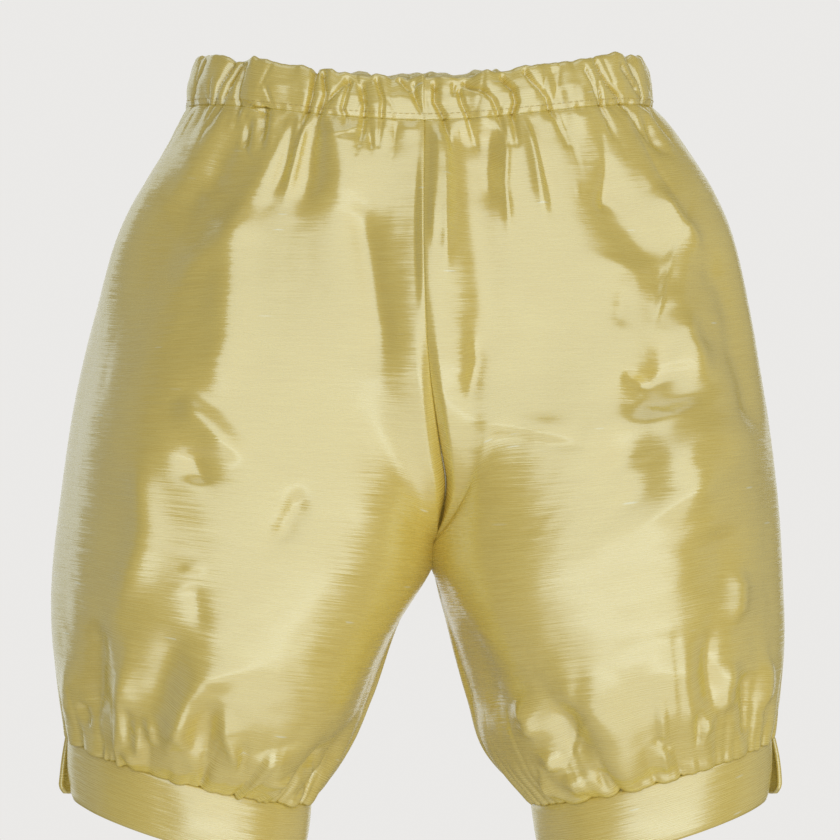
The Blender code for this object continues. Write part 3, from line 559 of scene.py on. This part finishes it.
def cloth_rise(leg, face, share, drop):
    """How far the cloth stands out of the plain surface, over a whole panel."""
    seed = RIPPLE_SEEDS[leg, face]
    across, down = share * PANEL_WIDTH, drop
    above_band = SIDE_LENGTH - drop
    inside = eased(share / SEAM_REACH) * eased((1 - share) / SIDE_REACH)
    below_waist = eased(drop / 0.010) * eased(above_band / 0.006)
    total = np.zeros(share.shape)
    for fold in panel_folds(leg, face):
        total += fold_rise(fold, across, down)
    for middle, low, rise in panel_swells(leg, face):
        away = ((across - middle * PANEL_WIDTH) / SWELL_WIDTH) ** 2 + ((down - low) / SWELL_LENGTH) ** 2
        total += rise * np.exp(-away)
    for number, (wide, long, height) in enumerate(RIPPLES):
        total += height * below_waist * wave_noise(across, down, wide, long, seed + number)
    busy = 0.35 + 0.65 * eased((drop - 0.20) / 0.05)
    total += CRUMPLE_HEIGHT * busy * below_waist * crumple(across, down, seed + 5)
    total = total * inside * eased(above_band / 0.006) * eased(drop / WAIST_REACH)
    total += crease_rise(leg, face, share, -drop) * eased(2.5 - drop / 0.020)
    for number, puckers in enumerate(HEM_PUCKERS):
        total += pucker_rise(puckers, share, above_band, seed + 9 + number)
    for number, puckers in enumerate(WAIST_PUCKERS):
        total += pucker_rise(puckers, share, drop, seed + 12 + number) * eased(drop / 0.005)
    for from_seam in (across, PANEL_WIDTH - across):
        total -= SEAM_GROOVE * np.exp(-((from_seam / SEAM_GROOVE_WIDTH) ** 2))
    total -= CASING_SEAM_DIP * np.exp(-((drop / CASING_SEAM_WIDTH) ** 2))
    total -= BAND_SEAM_DIP * np.exp(-((above_band / BAND_SEAM_WIDTH) ** 2))
    return total


def open_placket(points, leg, face, share, drop):
    """Below the placket's top the two side edges part, and the back one flares out."""
    part = eased((drop - PLACKET_DROP) / PLACKET_LENGTH)
    near = eased((share - 1 + FLARE_SHARE) / FLARE_SHARE)
    points = points.copy()
    points[..., 1] += FACES[face] * PLACKET_OPEN * part * near
    if face == "back":
        points[..., 0] += LEGS[leg] * PLACKET_FLARE * part * near**FLARE_POWER
        points[..., 2] += PLACKET_LIFT * PLACKET_FLARE * part * near
    return points


def unit(vectors):
    return vectors / np.maximum(np.linalg.norm(vectors, axis=-1, keepdims=True), 1e-12)


def evened_down(plain, shares, drops):
    """The plain surface with its bends evened out down the leg, away from the centre seam and the ends."""
    ends = eased(drops / EVEN_REACH) * eased((SIDE_LENGTH - drops) / EVEN_REACH)
    gaps = (drops[:, None] - drops[None]) / EVEN_REACH
    weights = np.exp(-2 * gaps**2) * np.gradient(drops)[None]
    weights /= weights.sum(1, keepdims=True)
    evened = np.einsum("ij,jkl->ikl", weights, plain)
    amount = ends[:, None, None] * eased(shares / 0.15)[None, :, None]
    return plain + (evened - plain) * amount


def panel_points(leg, face):
    """Outer and inner points of a panel, as rows of columns, with the share and drop of each."""
    shares, drops = column_places(), row_drops()
    plain = np.array([points_along(row_outline(leg, face, drop), shares) for drop in drops])
    plain = evened_down(plain, shares, drops)
    normals = np.cross(np.gradient(plain, axis=1), np.gradient(plain, axis=0))
    normals = unit(normals)
    normals = normals * np.sign(LEGS[leg] * normals[:, -1:, 0:1])
    normals[..., 2] *= eased(drops / LEVEL_RIM)[:, None]
    side_way = np.gradient(plain[:, -1], axis=0)
    side = unit(np.cross(side_way, (0.0, 1.0, 0.0)))
    normals[:, -1] = side * np.sign(side[:, :1] * LEGS[leg])
    below_fork = drops > FORK_DROP
    inner_way = np.gradient(plain[:, 0], axis=0)
    inner = unit(np.cross(inner_way, (0.0, 1.0, 0.0)))
    inner = inner * np.sign(inner[:, :1] * -LEGS[leg])
    normals[below_fork, 0] = inner[below_fork]
    normals = unit(normals)
    share, drop = np.meshgrid(shares, drops)
    outer = plain + normals * cloth_rise(leg, face, share, drop)[..., None]
    outer = open_placket(outer, leg, face, share, drop)
    return outer, outer - normals * CLOTH, share, drop


def grid_faces(count_rows, count_columns, closed):
    """Square faces of a grid of rows, as vertex numbers."""
    columns = count_columns if closed else count_columns - 1
    row, column = np.meshgrid(np.arange(count_rows - 1), np.arange(columns), indexing="ij")
    after = (column + 1) % count_columns
    a = row * count_columns + column
    b = row * count_columns + after
    c = (row + 1) * count_columns + after
    d = (row + 1) * count_columns + column
    return np.stack([a, b, c, d], -1).reshape(-1, 4)


def sheet_mesh(name, outer, inner, u, v, closed=False):
    """A thin shell of cloth between two grids of points, with its flat place as a UV map."""
    rows, columns = outer.shape[:2]
    top = grid_faces(rows, columns, closed)
    under = top[:, ::-1] + rows * columns
    number = np.arange(rows * columns).reshape(rows, columns)
    rims = []
    for edge, flip in ((number[0], False), (number[-1], True)):
        edge = np.append(edge, edge[0]) if closed else edge
        rims.append((edge, flip))
    if not closed:
        rims += [(number[:, 0], True), (number[:, -1], False)]
    faces = [top, under]
    for edge, flip in rims:
        a, b = edge[:-1], edge[1:]
        rim = np.stack([b, a, a + rows * columns, b + rows * columns], -1)
        faces.append(rim[:, ::-1] if flip else rim)
    faces = np.vstack(faces)
    points = np.vstack([outer.reshape(-1, 3), inner.reshape(-1, 3)])
    centre = points[faces].mean(1)
    normal = np.cross(points[faces[:, 1]] - points[faces[:, 0]], points[faces[:, 2]] - points[faces[:, 0]])
    if np.einsum("ij,ij->i", centre, normal).sum() < 0:
        faces = faces[:, ::-1]
    mesh = bpy.data.meshes.new(name)
    mesh.vertices.add(len(points))
    mesh.vertices.foreach_set("co", points.astype(np.float32).ravel())
    mesh.loops.add(faces.size)
    mesh.loops.foreach_set("vertex_index", faces.astype(np.int32).ravel())
    mesh.polygons.add(len(faces))
    mesh.polygons.foreach_set("loop_start", np.arange(0, faces.size, 4, dtype=np.int32))
    flat = np.column_stack([np.asarray(u).ravel(), np.asarray(v).ravel()])
    flat = np.vstack([flat, flat])
    layer = mesh.uv_layers.new(name="cloth")
    layer.data.foreach_set("uv", flat[faces.ravel()].astype(np.float32).ravel())
    mesh.update(calc_edges=True)
    mesh.shade_smooth()
    mesh.validate()
    piece = bpy.data.objects.new(name, mesh)
    bpy.context.scene.collection.objects.link(piece)
    return piece


def value_node(tree, kind, place, **settings):
    node = tree.nodes.new(kind)
    node.location = place
    for key, value in settings.items():
        setattr(node, key, value)
    return node


def maths(tree, operation, first, second=None, clamp=False):
    """A maths node on sockets or numbers."""
    node = tree.nodes.new("ShaderNodeMath")
    node.operation = operation
    node.use_clamp = clamp
    for number, value in enumerate((first, second)):
        if value is None:
            continue
        if isinstance(value, (int, float)):
            node.inputs[number].default_value = value
        else:
            tree.links.new(value, node.inputs[number])
    return node.outputs[0]


def stretched(tree, source, across, down):
    """The cloth's flat place with its scale set across and down."""
    mapping = tree.nodes.new("ShaderNodeMapping")
    mapping.inputs["Scale"].default_value = (across, down, 1)
    tree.links.new(source, mapping.inputs["Vector"])
    return mapping.outputs["Vector"]


def noise_of(tree, vector, detail, scale=1.0):
    node = tree.nodes.new("ShaderNodeTexNoise")
    node.inputs["Scale"].default_value = scale
    node.inputs["Detail"].default_value = detail
    node.inputs["Roughness"].default_value = 0.6
    tree.links.new(vector, node.inputs["Vector"])
    return node.outputs["Fac"]


def ranged(tree, value, low, high, to_low=0.0, to_high=1.0):
    node = tree.nodes.new("ShaderNodeMapRange")
    node.interpolation_type = "SMOOTHSTEP"
    node.inputs["From Min"].default_value = low
    node.inputs["From Max"].default_value = high
    node.inputs["To Min"].default_value = to_low
    node.inputs["To Max"].default_value = to_high
    tree.links.new(value, node.inputs["Value"])
    return node.outputs["Result"]


SILK_DEEP = (0.71, 0.515, 0.090, 1)
SILK_PALE = (0.775, 0.590, 0.132, 1)
SLUB_PALE = (0.86, 0.80, 0.55, 1)
# Each weft thread leans its sheen a little to one side, which feathers the edges of the shine
THREAD_LEAN = 0.17


def silk_cloth(name):
    """Dupion silk: fine uneven weft threads across the panel, with pale slubs here and there."""
    material = bpy.data.materials.new(name)
    material.use_nodes = True
    tree = material.node_tree
    shader = tree.nodes["Principled BSDF"]
    place = tree.nodes.new("ShaderNodeUVMap")
    place.uv_map = "cloth"
    flat = place.outputs["UV"]
    threads = noise_of(tree, stretched(tree, flat, 80, 2600), 3)
    long_threads = noise_of(tree, stretched(tree, flat, 14, 700), 2)
    warp = noise_of(tree, stretched(tree, flat, 2400, 60), 2)
    patches = noise_of(tree, stretched(tree, flat, 26, 40), 2)
    cells = tree.nodes.new("ShaderNodeTexVoronoi")
    cells.feature = "F1"
    cells.inputs["Scale"].default_value = 1.0
    tree.links.new(stretched(tree, flat, 95, 620), cells.inputs["Vector"])
    chance = tree.nodes.new("ShaderNodeSeparateColor")
    tree.links.new(cells.outputs["Color"], chance.inputs["Color"])
    near = ranged(tree, cells.outputs["Distance"], 0.34, 0.16)
    chosen = ranged(tree, chance.outputs[0], 0.982, 0.990)
    slub = maths(tree, "MULTIPLY", near, chosen)
    mixed = maths(tree, "ADD", maths(tree, "MULTIPLY", threads, 0.75), maths(tree, "MULTIPLY", long_threads, 0.25))
    tone = ranged(tree, maths(tree, "ADD", mixed, maths(tree, "MULTIPLY", patches, 0.25)), 0.40, 0.85)
    colour = tree.nodes.new("ShaderNodeMix")
    colour.data_type = "RGBA"
    colour.inputs[6].default_value = SILK_DEEP
    colour.inputs[7].default_value = SILK_PALE
    tree.links.new(tone, colour.inputs[0])
    with_slubs = tree.nodes.new("ShaderNodeMix")
    with_slubs.data_type = "RGBA"
    with_slubs.inputs[7].default_value = SLUB_PALE
    tree.links.new(maths(tree, "MULTIPLY", slub, 0.6), with_slubs.inputs[0])
    tree.links.new(colour.outputs[2], with_slubs.inputs[6])
    tree.links.new(with_slubs.outputs[2], shader.inputs["Base Color"])
    rough = ranged(tree, mixed, 0.3, 0.7, 0.23, 0.31)
    tree.links.new(rough, shader.inputs["Roughness"])
    uneven = noise_of(tree, stretched(tree, flat, 90, 420), 2)
    height = maths(tree, "ADD", maths(tree, "MULTIPLY", mixed, 0.6), maths(tree, "MULTIPLY", warp, 0.25))
    height = maths(tree, "ADD", height, maths(tree, "MULTIPLY", uneven, 1.6))
    height = maths(tree, "ADD", height, maths(tree, "MULTIPLY", slub, 0.8))
    bump = tree.nodes.new("ShaderNodeBump")
    bump.inputs["Strength"].default_value = 0.15
    bump.inputs["Distance"].default_value = 0.00012
    tree.links.new(height, bump.inputs["Height"])
    face = tree.nodes.new("ShaderNodeNewGeometry")
    sideways = tree.nodes.new("ShaderNodeVectorMath")
    sideways.operation = "CROSS_PRODUCT"
    tree.links.new(face.outputs["Normal"], sideways.inputs[0])
    sideways.inputs[1].default_value = (0, 0, 1)
    lean = tree.nodes.new("ShaderNodeVectorMath")
    lean.operation = "SCALE"
    tree.links.new(sideways.outputs[0], lean.inputs[0])
    uneven_threads = noise_of(tree, stretched(tree, flat, 45, 2400), 3)
    tree.links.new(ranged(tree, uneven_threads, 0.0, 1.0, -THREAD_LEAN, THREAD_LEAN), lean.inputs["Scale"])
    leaning = tree.nodes.new("ShaderNodeVectorMath")
    leaning.operation = "ADD"
    tree.links.new(face.outputs["Normal"], leaning.inputs[0])
    tree.links.new(lean.outputs[0], leaning.inputs[1])
    even = tree.nodes.new("ShaderNodeVectorMath")
    even.operation = "NORMALIZE"
    tree.links.new(leaning.outputs[0], even.inputs[0])
    tree.links.new(even.outputs[0], bump.inputs["Normal"])
    tree.links.new(bump.outputs["Normal"], shader.inputs["Normal"])
    shader.inputs["IOR"].default_value = 2.0
    shader.inputs["Specular IOR Level"].default_value = 1.0
    shader.inputs["Specular Tint"].default_value = (0.86, 1.0, 0.98, 1)
    return material


SILK = silk_cloth("gold_dupion_silk")


def dress(piece, node):
    """The piece takes the place of its node and rides on the body."""
    piece.data.materials.append(SILK)
    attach(piece, "root")
    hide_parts(node)


def make_panel(leg, face):
    outer, inner, share, drop = panel_points(leg, face)
    piece = sheet_mesh(f"{leg}_leg_{face}_silk", outer, inner, share * PANEL_WIDTH + LEGS[leg] * 0.4, drop + FACES[face])
    dress(piece, f"{leg}_leg_{face}")
    return piece


# Waist casing
CASING_TOP = 0.0096
CASING_BOTTOM = -0.0104
CASING_TOP_DIP = 0.0030
CASING_COLUMNS = 245
CASING_OUTSIDE = (
    (-0.0109, 0.0001), (-0.0106, 0.0000), (-0.0070, 0.0001), (0.0, 0.0011), (0.0055, 0.0029), (0.0083, 0.0043),
    (0.0092, 0.0051), (0.0097, 0.0062),
)
CASING_INSIDE = ((0.0095, 0.0074), (0.0086, 0.0083), (0.0055, 0.0077), (0.0, 0.0050), (-0.0100, 0.0034))
CASING_ROWS = 34
CASING_INSIDE_ROWS = 10
CASING_CRIMP = 0.0011
CASING_NOTCH = 0.7


def casing_ring():
    """The gathered top of the four panels as one loop: plain points, outward directions, panels and shares."""
    points, outward, labels = [], [], []
    order = (("left", "front", False), ("left", "back", True), ("right", "back", False), ("right", "front", True))
    shares = np.linspace(0, 1, CASING_COLUMNS + 1)
    for leg, face, from_side in order:
        plain = points_along(row_outline(leg, face, 0.0), shares)
        along = np.gradient(plain, axis=0)
        out = unit(np.column_stack([along[:, 1], -along[:, 0], np.zeros(len(along))]))
        out = out * np.sign(np.sum(out * plain, axis=1))[:, None]
        way = slice(None, None, -1) if from_side else slice(None)
        points.append(plain[way][:-1])
        outward.append(out[way][:-1])
        labels.append((leg, face, shares[way][:-1]))
    return np.vstack(points), np.vstack(outward), labels


def make_casing():
    """The turned and stitched top with its elastic drawn in: one strip, up the outside and down the inside."""
    plain, outward, labels = casing_ring()
    level = plain[:, 2] - SIDE_TOP
    lengths_round = np.concatenate([[0.0], np.cumsum(np.linalg.norm(np.diff(plain, axis=0), axis=1))])
    profile = np.array(CASING_OUTSIDE + CASING_INSIDE)
    lengths = np.concatenate([[0.0], np.cumsum(np.linalg.norm(np.diff(profile, axis=0), axis=1))])
    outside_end = lengths[len(CASING_OUTSIDE) - 1]
    outside = np.linspace(0, 1, CASING_ROWS) ** 0.85 * outside_end
    inside = np.linspace(outside_end, lengths[-1], CASING_INSIDE_ROWS + 1)[1:]
    crimp = wave_noise(lengths_round, lengths_round * 0, 0.0034, 1.0, 71)
    rings, stitch_line = [], None
    places = np.concatenate([outside, inside])
    for place in places:
        height = np.interp(place, lengths, profile[:, 0])
        inset = np.interp(place, lengths, profile[:, 1])
        above = height - CASING_BOTTOM
        rise = np.concatenate([crease_rise(leg, face, share, np.full(share.shape, above)) for leg, face, share in labels])
        crown = eased(above / (CASING_TOP - CASING_BOTTOM))
        dip = CASING_SEAM_DIP * math.exp(-((above / CASING_SEAM_WIDTH) ** 2))
        amount = 1.0 if place <= outside_end else 0.6
        ring = plain + outward * (rise * amount - inset - dip)[:, None]
        ring[:, 2] = height + level * (1 + crown * CASING_TOP_DIP / WAIST_DIP)
        ring[:, 2] += crown**3 * (CASING_NOTCH * rise + CASING_CRIMP * crimp)
        rings.append(ring)
        if stitch_line is None and above >= STITCH_HEIGHT:
            stitch_line = ring + outward * 0.3 * THREAD_WIDTH
    outer = np.array(rings)
    normals = unit(np.cross(np.gradient(outer, axis=1), np.gradient(outer, axis=0)))
    facing = np.sign(np.sum(normals[5] * outward, axis=1).sum())
    inner = outer - normals * CLOTH * facing
    uu, vv = np.meshgrid(lengths_round, places + 2.0)
    piece = sheet_mesh("waist_casing_silk", outer, inner, uu, vv, closed=True)
    stitches = stitched("casing_stitches", stitch_line, stitch_tree(thread_material()), closed=True)
    dress(piece, "waist_casing")
    return piece


# Knee bands
BAND_COLUMNS = 90
BAND_ROWS = 22
BAND_BOW = 0.0005
BAND_WAVE = 0.0012
BAND_WAVE_LENGTH = 0.022
BAND_ROUNDING = 0.0007


def band_edge(leg, face, shares):
    plain = points_along(row_outline(leg, face, SIDE_LENGTH), shares)
    return open_placket(plain, leg, face, shares, SIDE_LENGTH)


def make_band(leg):
    """A plain band, split at the outer side, folded double along its lower edge."""
    shares = np.linspace(0, 1, BAND_COLUMNS + 1)
    front, back = band_edge(leg, "front", shares), band_edge(leg, "back", shares)
    top = np.vstack([front[::-1], back[1:]])
    share = np.concatenate([shares[::-1], shares[1:]])
    middle = top.mean(axis=0)
    along = np.gradient(top, axis=0)
    out = unit(np.column_stack([along[:, 1], -along[:, 0], np.zeros(len(along))]))
    out = out * np.sign(np.sum(out * (top - middle), axis=1))[:, None]
    back_end = np.concatenate([np.zeros(len(front)), eased(1 - (1 - shares[1:]) / FLARE_SHARE)])
    corner = eased(1 - (1 - share) / BAND_CORNER_SHARE) * BAND_CORNER
    lengths = np.concatenate([[0.0], np.cumsum(np.linalg.norm(np.diff(top, axis=0), axis=1))])
    rows, places = [], []
    wobble = wave_noise(lengths, lengths * 0, BAND_WAVE_LENGTH, 1.0, 61 if leg == "left" else 62)
    for part in np.concatenate([[-0.025], np.linspace(0, 1, BAND_ROWS)]):
        row = top.copy()
        narrow = 1 - (1 - BAND_TAPER) * part
        row[:, :2] = middle[:2] + (top[:, :2] - middle[:2]) * narrow
        row[:, 0] += LEGS[leg] * (BAND_SHIFT * part + BAND_END_FLARE * part * back_end)
        row[:, 2] = top[:, 2] - 0.0003 - BAND_HEIGHT * part + corner * eased((part - 0.6) / 0.4)
        edge = math.exp(-(((part + 0.025) / 0.03) ** 2)) + 0.8 * math.exp(-(((1 - part) / 0.05) ** 2))
        bow = math.sin(math.pi * max(part, 0))
        swell = BAND_BOW * bow + BAND_WAVE * wobble * (0.4 + 0.6 * bow)
        row += out * (swell - BAND_ROUNDING * edge)[:, None]
        rows.append(row)
        places.append(part * BAND_HEIGHT)
    outer = np.array(rows)
    inner = outer - out[None] * BAND_WALL
    uu, vv = np.meshgrid(lengths + LEGS[leg] * 0.3, np.array(places) + 3.0)
    piece = sheet_mesh(f"{leg}_knee_band_silk", outer, inner, uu, vv)
    dress(piece, f"{leg}_knee_band")
    return piece


# Sewing
STITCH_PITCH = 0.0026
STITCH_LENGTH = 0.0021
THREAD_WIDTH = 0.00032
STITCH_HEIGHT = 0.0016


def thread_material():
    """Twisted polyester thread, a little deeper than the silk."""
    material = bpy.data.materials.new("gold_thread")
    material.use_nodes = True
    tree = material.node_tree
    shader = tree.nodes["Principled BSDF"]
    place = tree.nodes.new("ShaderNodeTexCoord")
    twist = noise_of(tree, stretched(tree, place.outputs["Object"], 2500, 2500), 1)
    colour = tree.nodes.new("ShaderNodeMix")
    colour.data_type = "RGBA"
    colour.inputs[6].default_value = (0.50, 0.36, 0.08, 1)
    colour.inputs[7].default_value = (0.72, 0.58, 0.20, 1)
    tree.links.new(ranged(tree, twist, 0.3, 0.7), colour.inputs[0])
    tree.links.new(colour.outputs[2], shader.inputs["Base Color"])
    shader.inputs["Roughness"].default_value = 0.45
    return material


def stitch_tree(material):
    """Geometry nodes that lay stitches along a line of edges."""
    tree = bpy.data.node_groups.new("stitches", "GeometryNodeTree")
    face = tree.interface
    face.new_socket("Geometry", in_out="INPUT", socket_type="NodeSocketGeometry")
    for name in ("Pitch", "Stitch Length", "Thread Width"):
        face.new_socket(name, in_out="INPUT", socket_type="NodeSocketFloat")
    face.new_socket("Geometry", in_out="OUTPUT", socket_type="NodeSocketGeometry")
    start, end = tree.nodes.new("NodeGroupInput"), tree.nodes.new("NodeGroupOutput")
    curve = tree.nodes.new("GeometryNodeMeshToCurve")
    spaced = tree.nodes.new("GeometryNodeResampleCurve")
    spaced.mode = "LENGTH"
    stitch = tree.nodes.new("GeometryNodeMeshIcoSphere")
    stitch.inputs["Radius"].default_value = 0.5
    stitch.inputs["Subdivisions"].default_value = 2
    tangent = tree.nodes.new("GeometryNodeInputTangent")
    turned = tree.nodes.new("FunctionNodeAlignRotationToVector")
    turned.axis = "X"
    size = tree.nodes.new("ShaderNodeCombineXYZ")
    laid = tree.nodes.new("GeometryNodeInstanceOnPoints")
    real = tree.nodes.new("GeometryNodeRealizeInstances")
    painted = tree.nodes.new("GeometryNodeSetMaterial")
    painted.inputs["Material"].default_value = material
    link = tree.links.new
    link(start.outputs["Geometry"], curve.inputs["Mesh"])
    link(curve.outputs["Curve"], spaced.inputs["Curve"])
    link(start.outputs["Pitch"], spaced.inputs["Length"])
    link(spaced.outputs["Curve"], laid.inputs["Points"])
    link(stitch.outputs["Mesh"], laid.inputs["Instance"])
    link(tangent.outputs["Tangent"], turned.inputs["Vector"])
    link(turned.outputs["Rotation"], laid.inputs["Rotation"])
    link(start.outputs["Stitch Length"], size.inputs["X"])
    link(start.outputs["Thread Width"], size.inputs["Y"])
    link(start.outputs["Thread Width"], size.inputs["Z"])
    link(size.outputs["Vector"], laid.inputs["Scale"])
    link(laid.outputs["Instances"], real.inputs["Geometry"])
    link(real.outputs["Geometry"], painted.inputs["Geometry"])
    link(painted.outputs["Geometry"], end.inputs["Geometry"])
    return tree


def stitched(name, points, tree, closed):
    """Stitches along points, as a plain mesh."""
    count = len(points)
    edges = [(i, (i + 1) % count) for i in range(count if closed else count - 1)]
    path = bpy.data.meshes.new(name + "_path")
    path.from_pydata([tuple(point) for point in points], edges, [])
    holder = bpy.data.objects.new(name + "_path", path)
    bpy.context.scene.collection.objects.link(holder)
    modifier = holder.modifiers.new("stitches", "NODES")
    modifier.node_group = tree
    values = {"Pitch": STITCH_PITCH, "Stitch Length": STITCH_LENGTH, "Thread Width": THREAD_WIDTH}
    for socket in tree.interface.items_tree:
        if socket.in_out == "INPUT" and socket.name in values:
            modifier[socket.identifier] = values[socket.name]
    graph = bpy.context.evaluated_depsgraph_get()
    mesh = bpy.data.meshes.new_from_object(holder.evaluated_get(graph))
    holder.modifiers.remove(modifier)
    bpy.data.objects.remove(holder)
    mesh.name = name
    mesh.shade_smooth()
    piece = bpy.data.objects.new(name, mesh)
    bpy.context.scene.collection.objects.link(piece)
    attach(piece, "root")
    return piece


panels = {(leg, face): make_panel(leg, face) for leg in LEGS for face in FACES}
casing = make_casing()
bands = {leg: make_band(leg) for leg in LEGS}


# Studio
BACKGROUND = (0.828, 0.818, 0.803, 1)


def soft_box(name, place, aim, width, height, power):
    light = bpy.data.lights.new(name, "AREA")
    light.shape = "RECTANGLE"
    light.size, light.size_y = width, height
    light.energy = power
    light.color = (0.98, 1.0, 1.04)
    lamp = bpy.data.objects.new(name, light)
    lamp.location = place
    lamp.rotation_euler = (Vector(aim) - Vector(place)).to_track_quat("-Z", "Y").to_euler()
    lamp.visible_camera = False
    bpy.context.scene.collection.objects.link(lamp)


def make_studio():
    world = bpy.data.worlds.new("studio")
    bpy.context.scene.world = world
    world.use_nodes = True
    tree = world.node_tree
    tree.nodes.clear()
    out = tree.nodes.new("ShaderNodeOutputWorld")
    seen = tree.nodes.new("ShaderNodeBackground")
    seen.inputs["Color"].default_value = BACKGROUND
    lit = tree.nodes.new("ShaderNodeBackground")
    lit.inputs["Color"].default_value = (0.97, 0.97, 0.84, 1)
    lit.inputs["Strength"].default_value = 0.25
    path = tree.nodes.new("ShaderNodeLightPath")
    mix = tree.nodes.new("ShaderNodeMixShader")
    tree.links.new(path.outputs["Is Camera Ray"], mix.inputs[0])
    tree.links.new(lit.outputs[0], mix.inputs[1])
    tree.links.new(seen.outputs[0], mix.inputs[2])
    tree.links.new(mix.outputs[0], out.inputs["Surface"])
    soft_box("front_soft_box", (0.72, -2.6, 0.10), (0.0, 0.0, -0.15), 4.1, 3.6, 50)
    soft_box("low_soft_box", (0.40, -1.7, -1.80), (0.0, 0.0, -0.20), 3.2, 2.0, 16)
    soft_box("back_soft_box", (-0.6, 2.6, 0.5), (0.0, 0.0, -0.15), 5.0, 3.0, 42)
    soft_box("top_soft_box", (0.0, -0.4, 2.2), (0.0, 0.0, -0.1), 1.6, 1.6, 6)
    for name, side in (("right_side_soft_box", -1), ("left_side_soft_box", 1)):
        soft_box(name, (2.4 * side, 0.9, 0.0), (0.0, 0.0, -0.15), 2.6, 3.0, 4)


# The floor lies below the low soft box, so it shades none of it
FLOOR_Z = -3.0


def make_floor():
    mesh = bpy.data.meshes.new("floor")
    ring = [(4.0 * math.cos(a), 4.0 * math.sin(a), FLOOR_Z) for a in np.linspace(0, 2 * math.pi, 65)[:-1]]
    mesh.from_pydata(ring, [], [tuple(range(64))])
    floor = bpy.data.objects.new("floor", mesh)
    bpy.context.scene.collection.objects.link(floor)
    paint = bpy.data.materials.new("pale_floor")
    paint.use_nodes = True
    shader = paint.node_tree.nodes["Principled BSDF"]
    shader.inputs["Base Color"].default_value = (0.80, 0.79, 0.775, 1)
    shader.inputs["Roughness"].default_value = 0.9
    mesh.materials.append(paint)


def make_camera():
    camera = bpy.data.cameras.new("camera")
    camera.sensor_width = 36
    camera.lens = 36 * 2.0 / (840 * 0.00045)
    camera.clip_end = 100
    holder = bpy.data.objects.new("camera", camera)
    holder.location = (0, -2.0, -0.150)
    holder.rotation_euler = (math.pi / 2, 0, 0)
    bpy.context.scene.collection.objects.link(holder)
    bpy.context.scene.camera = holder
    bpy.context.scene.view_settings.view_transform = "Standard"


make_studio()
make_floor()
make_camera()
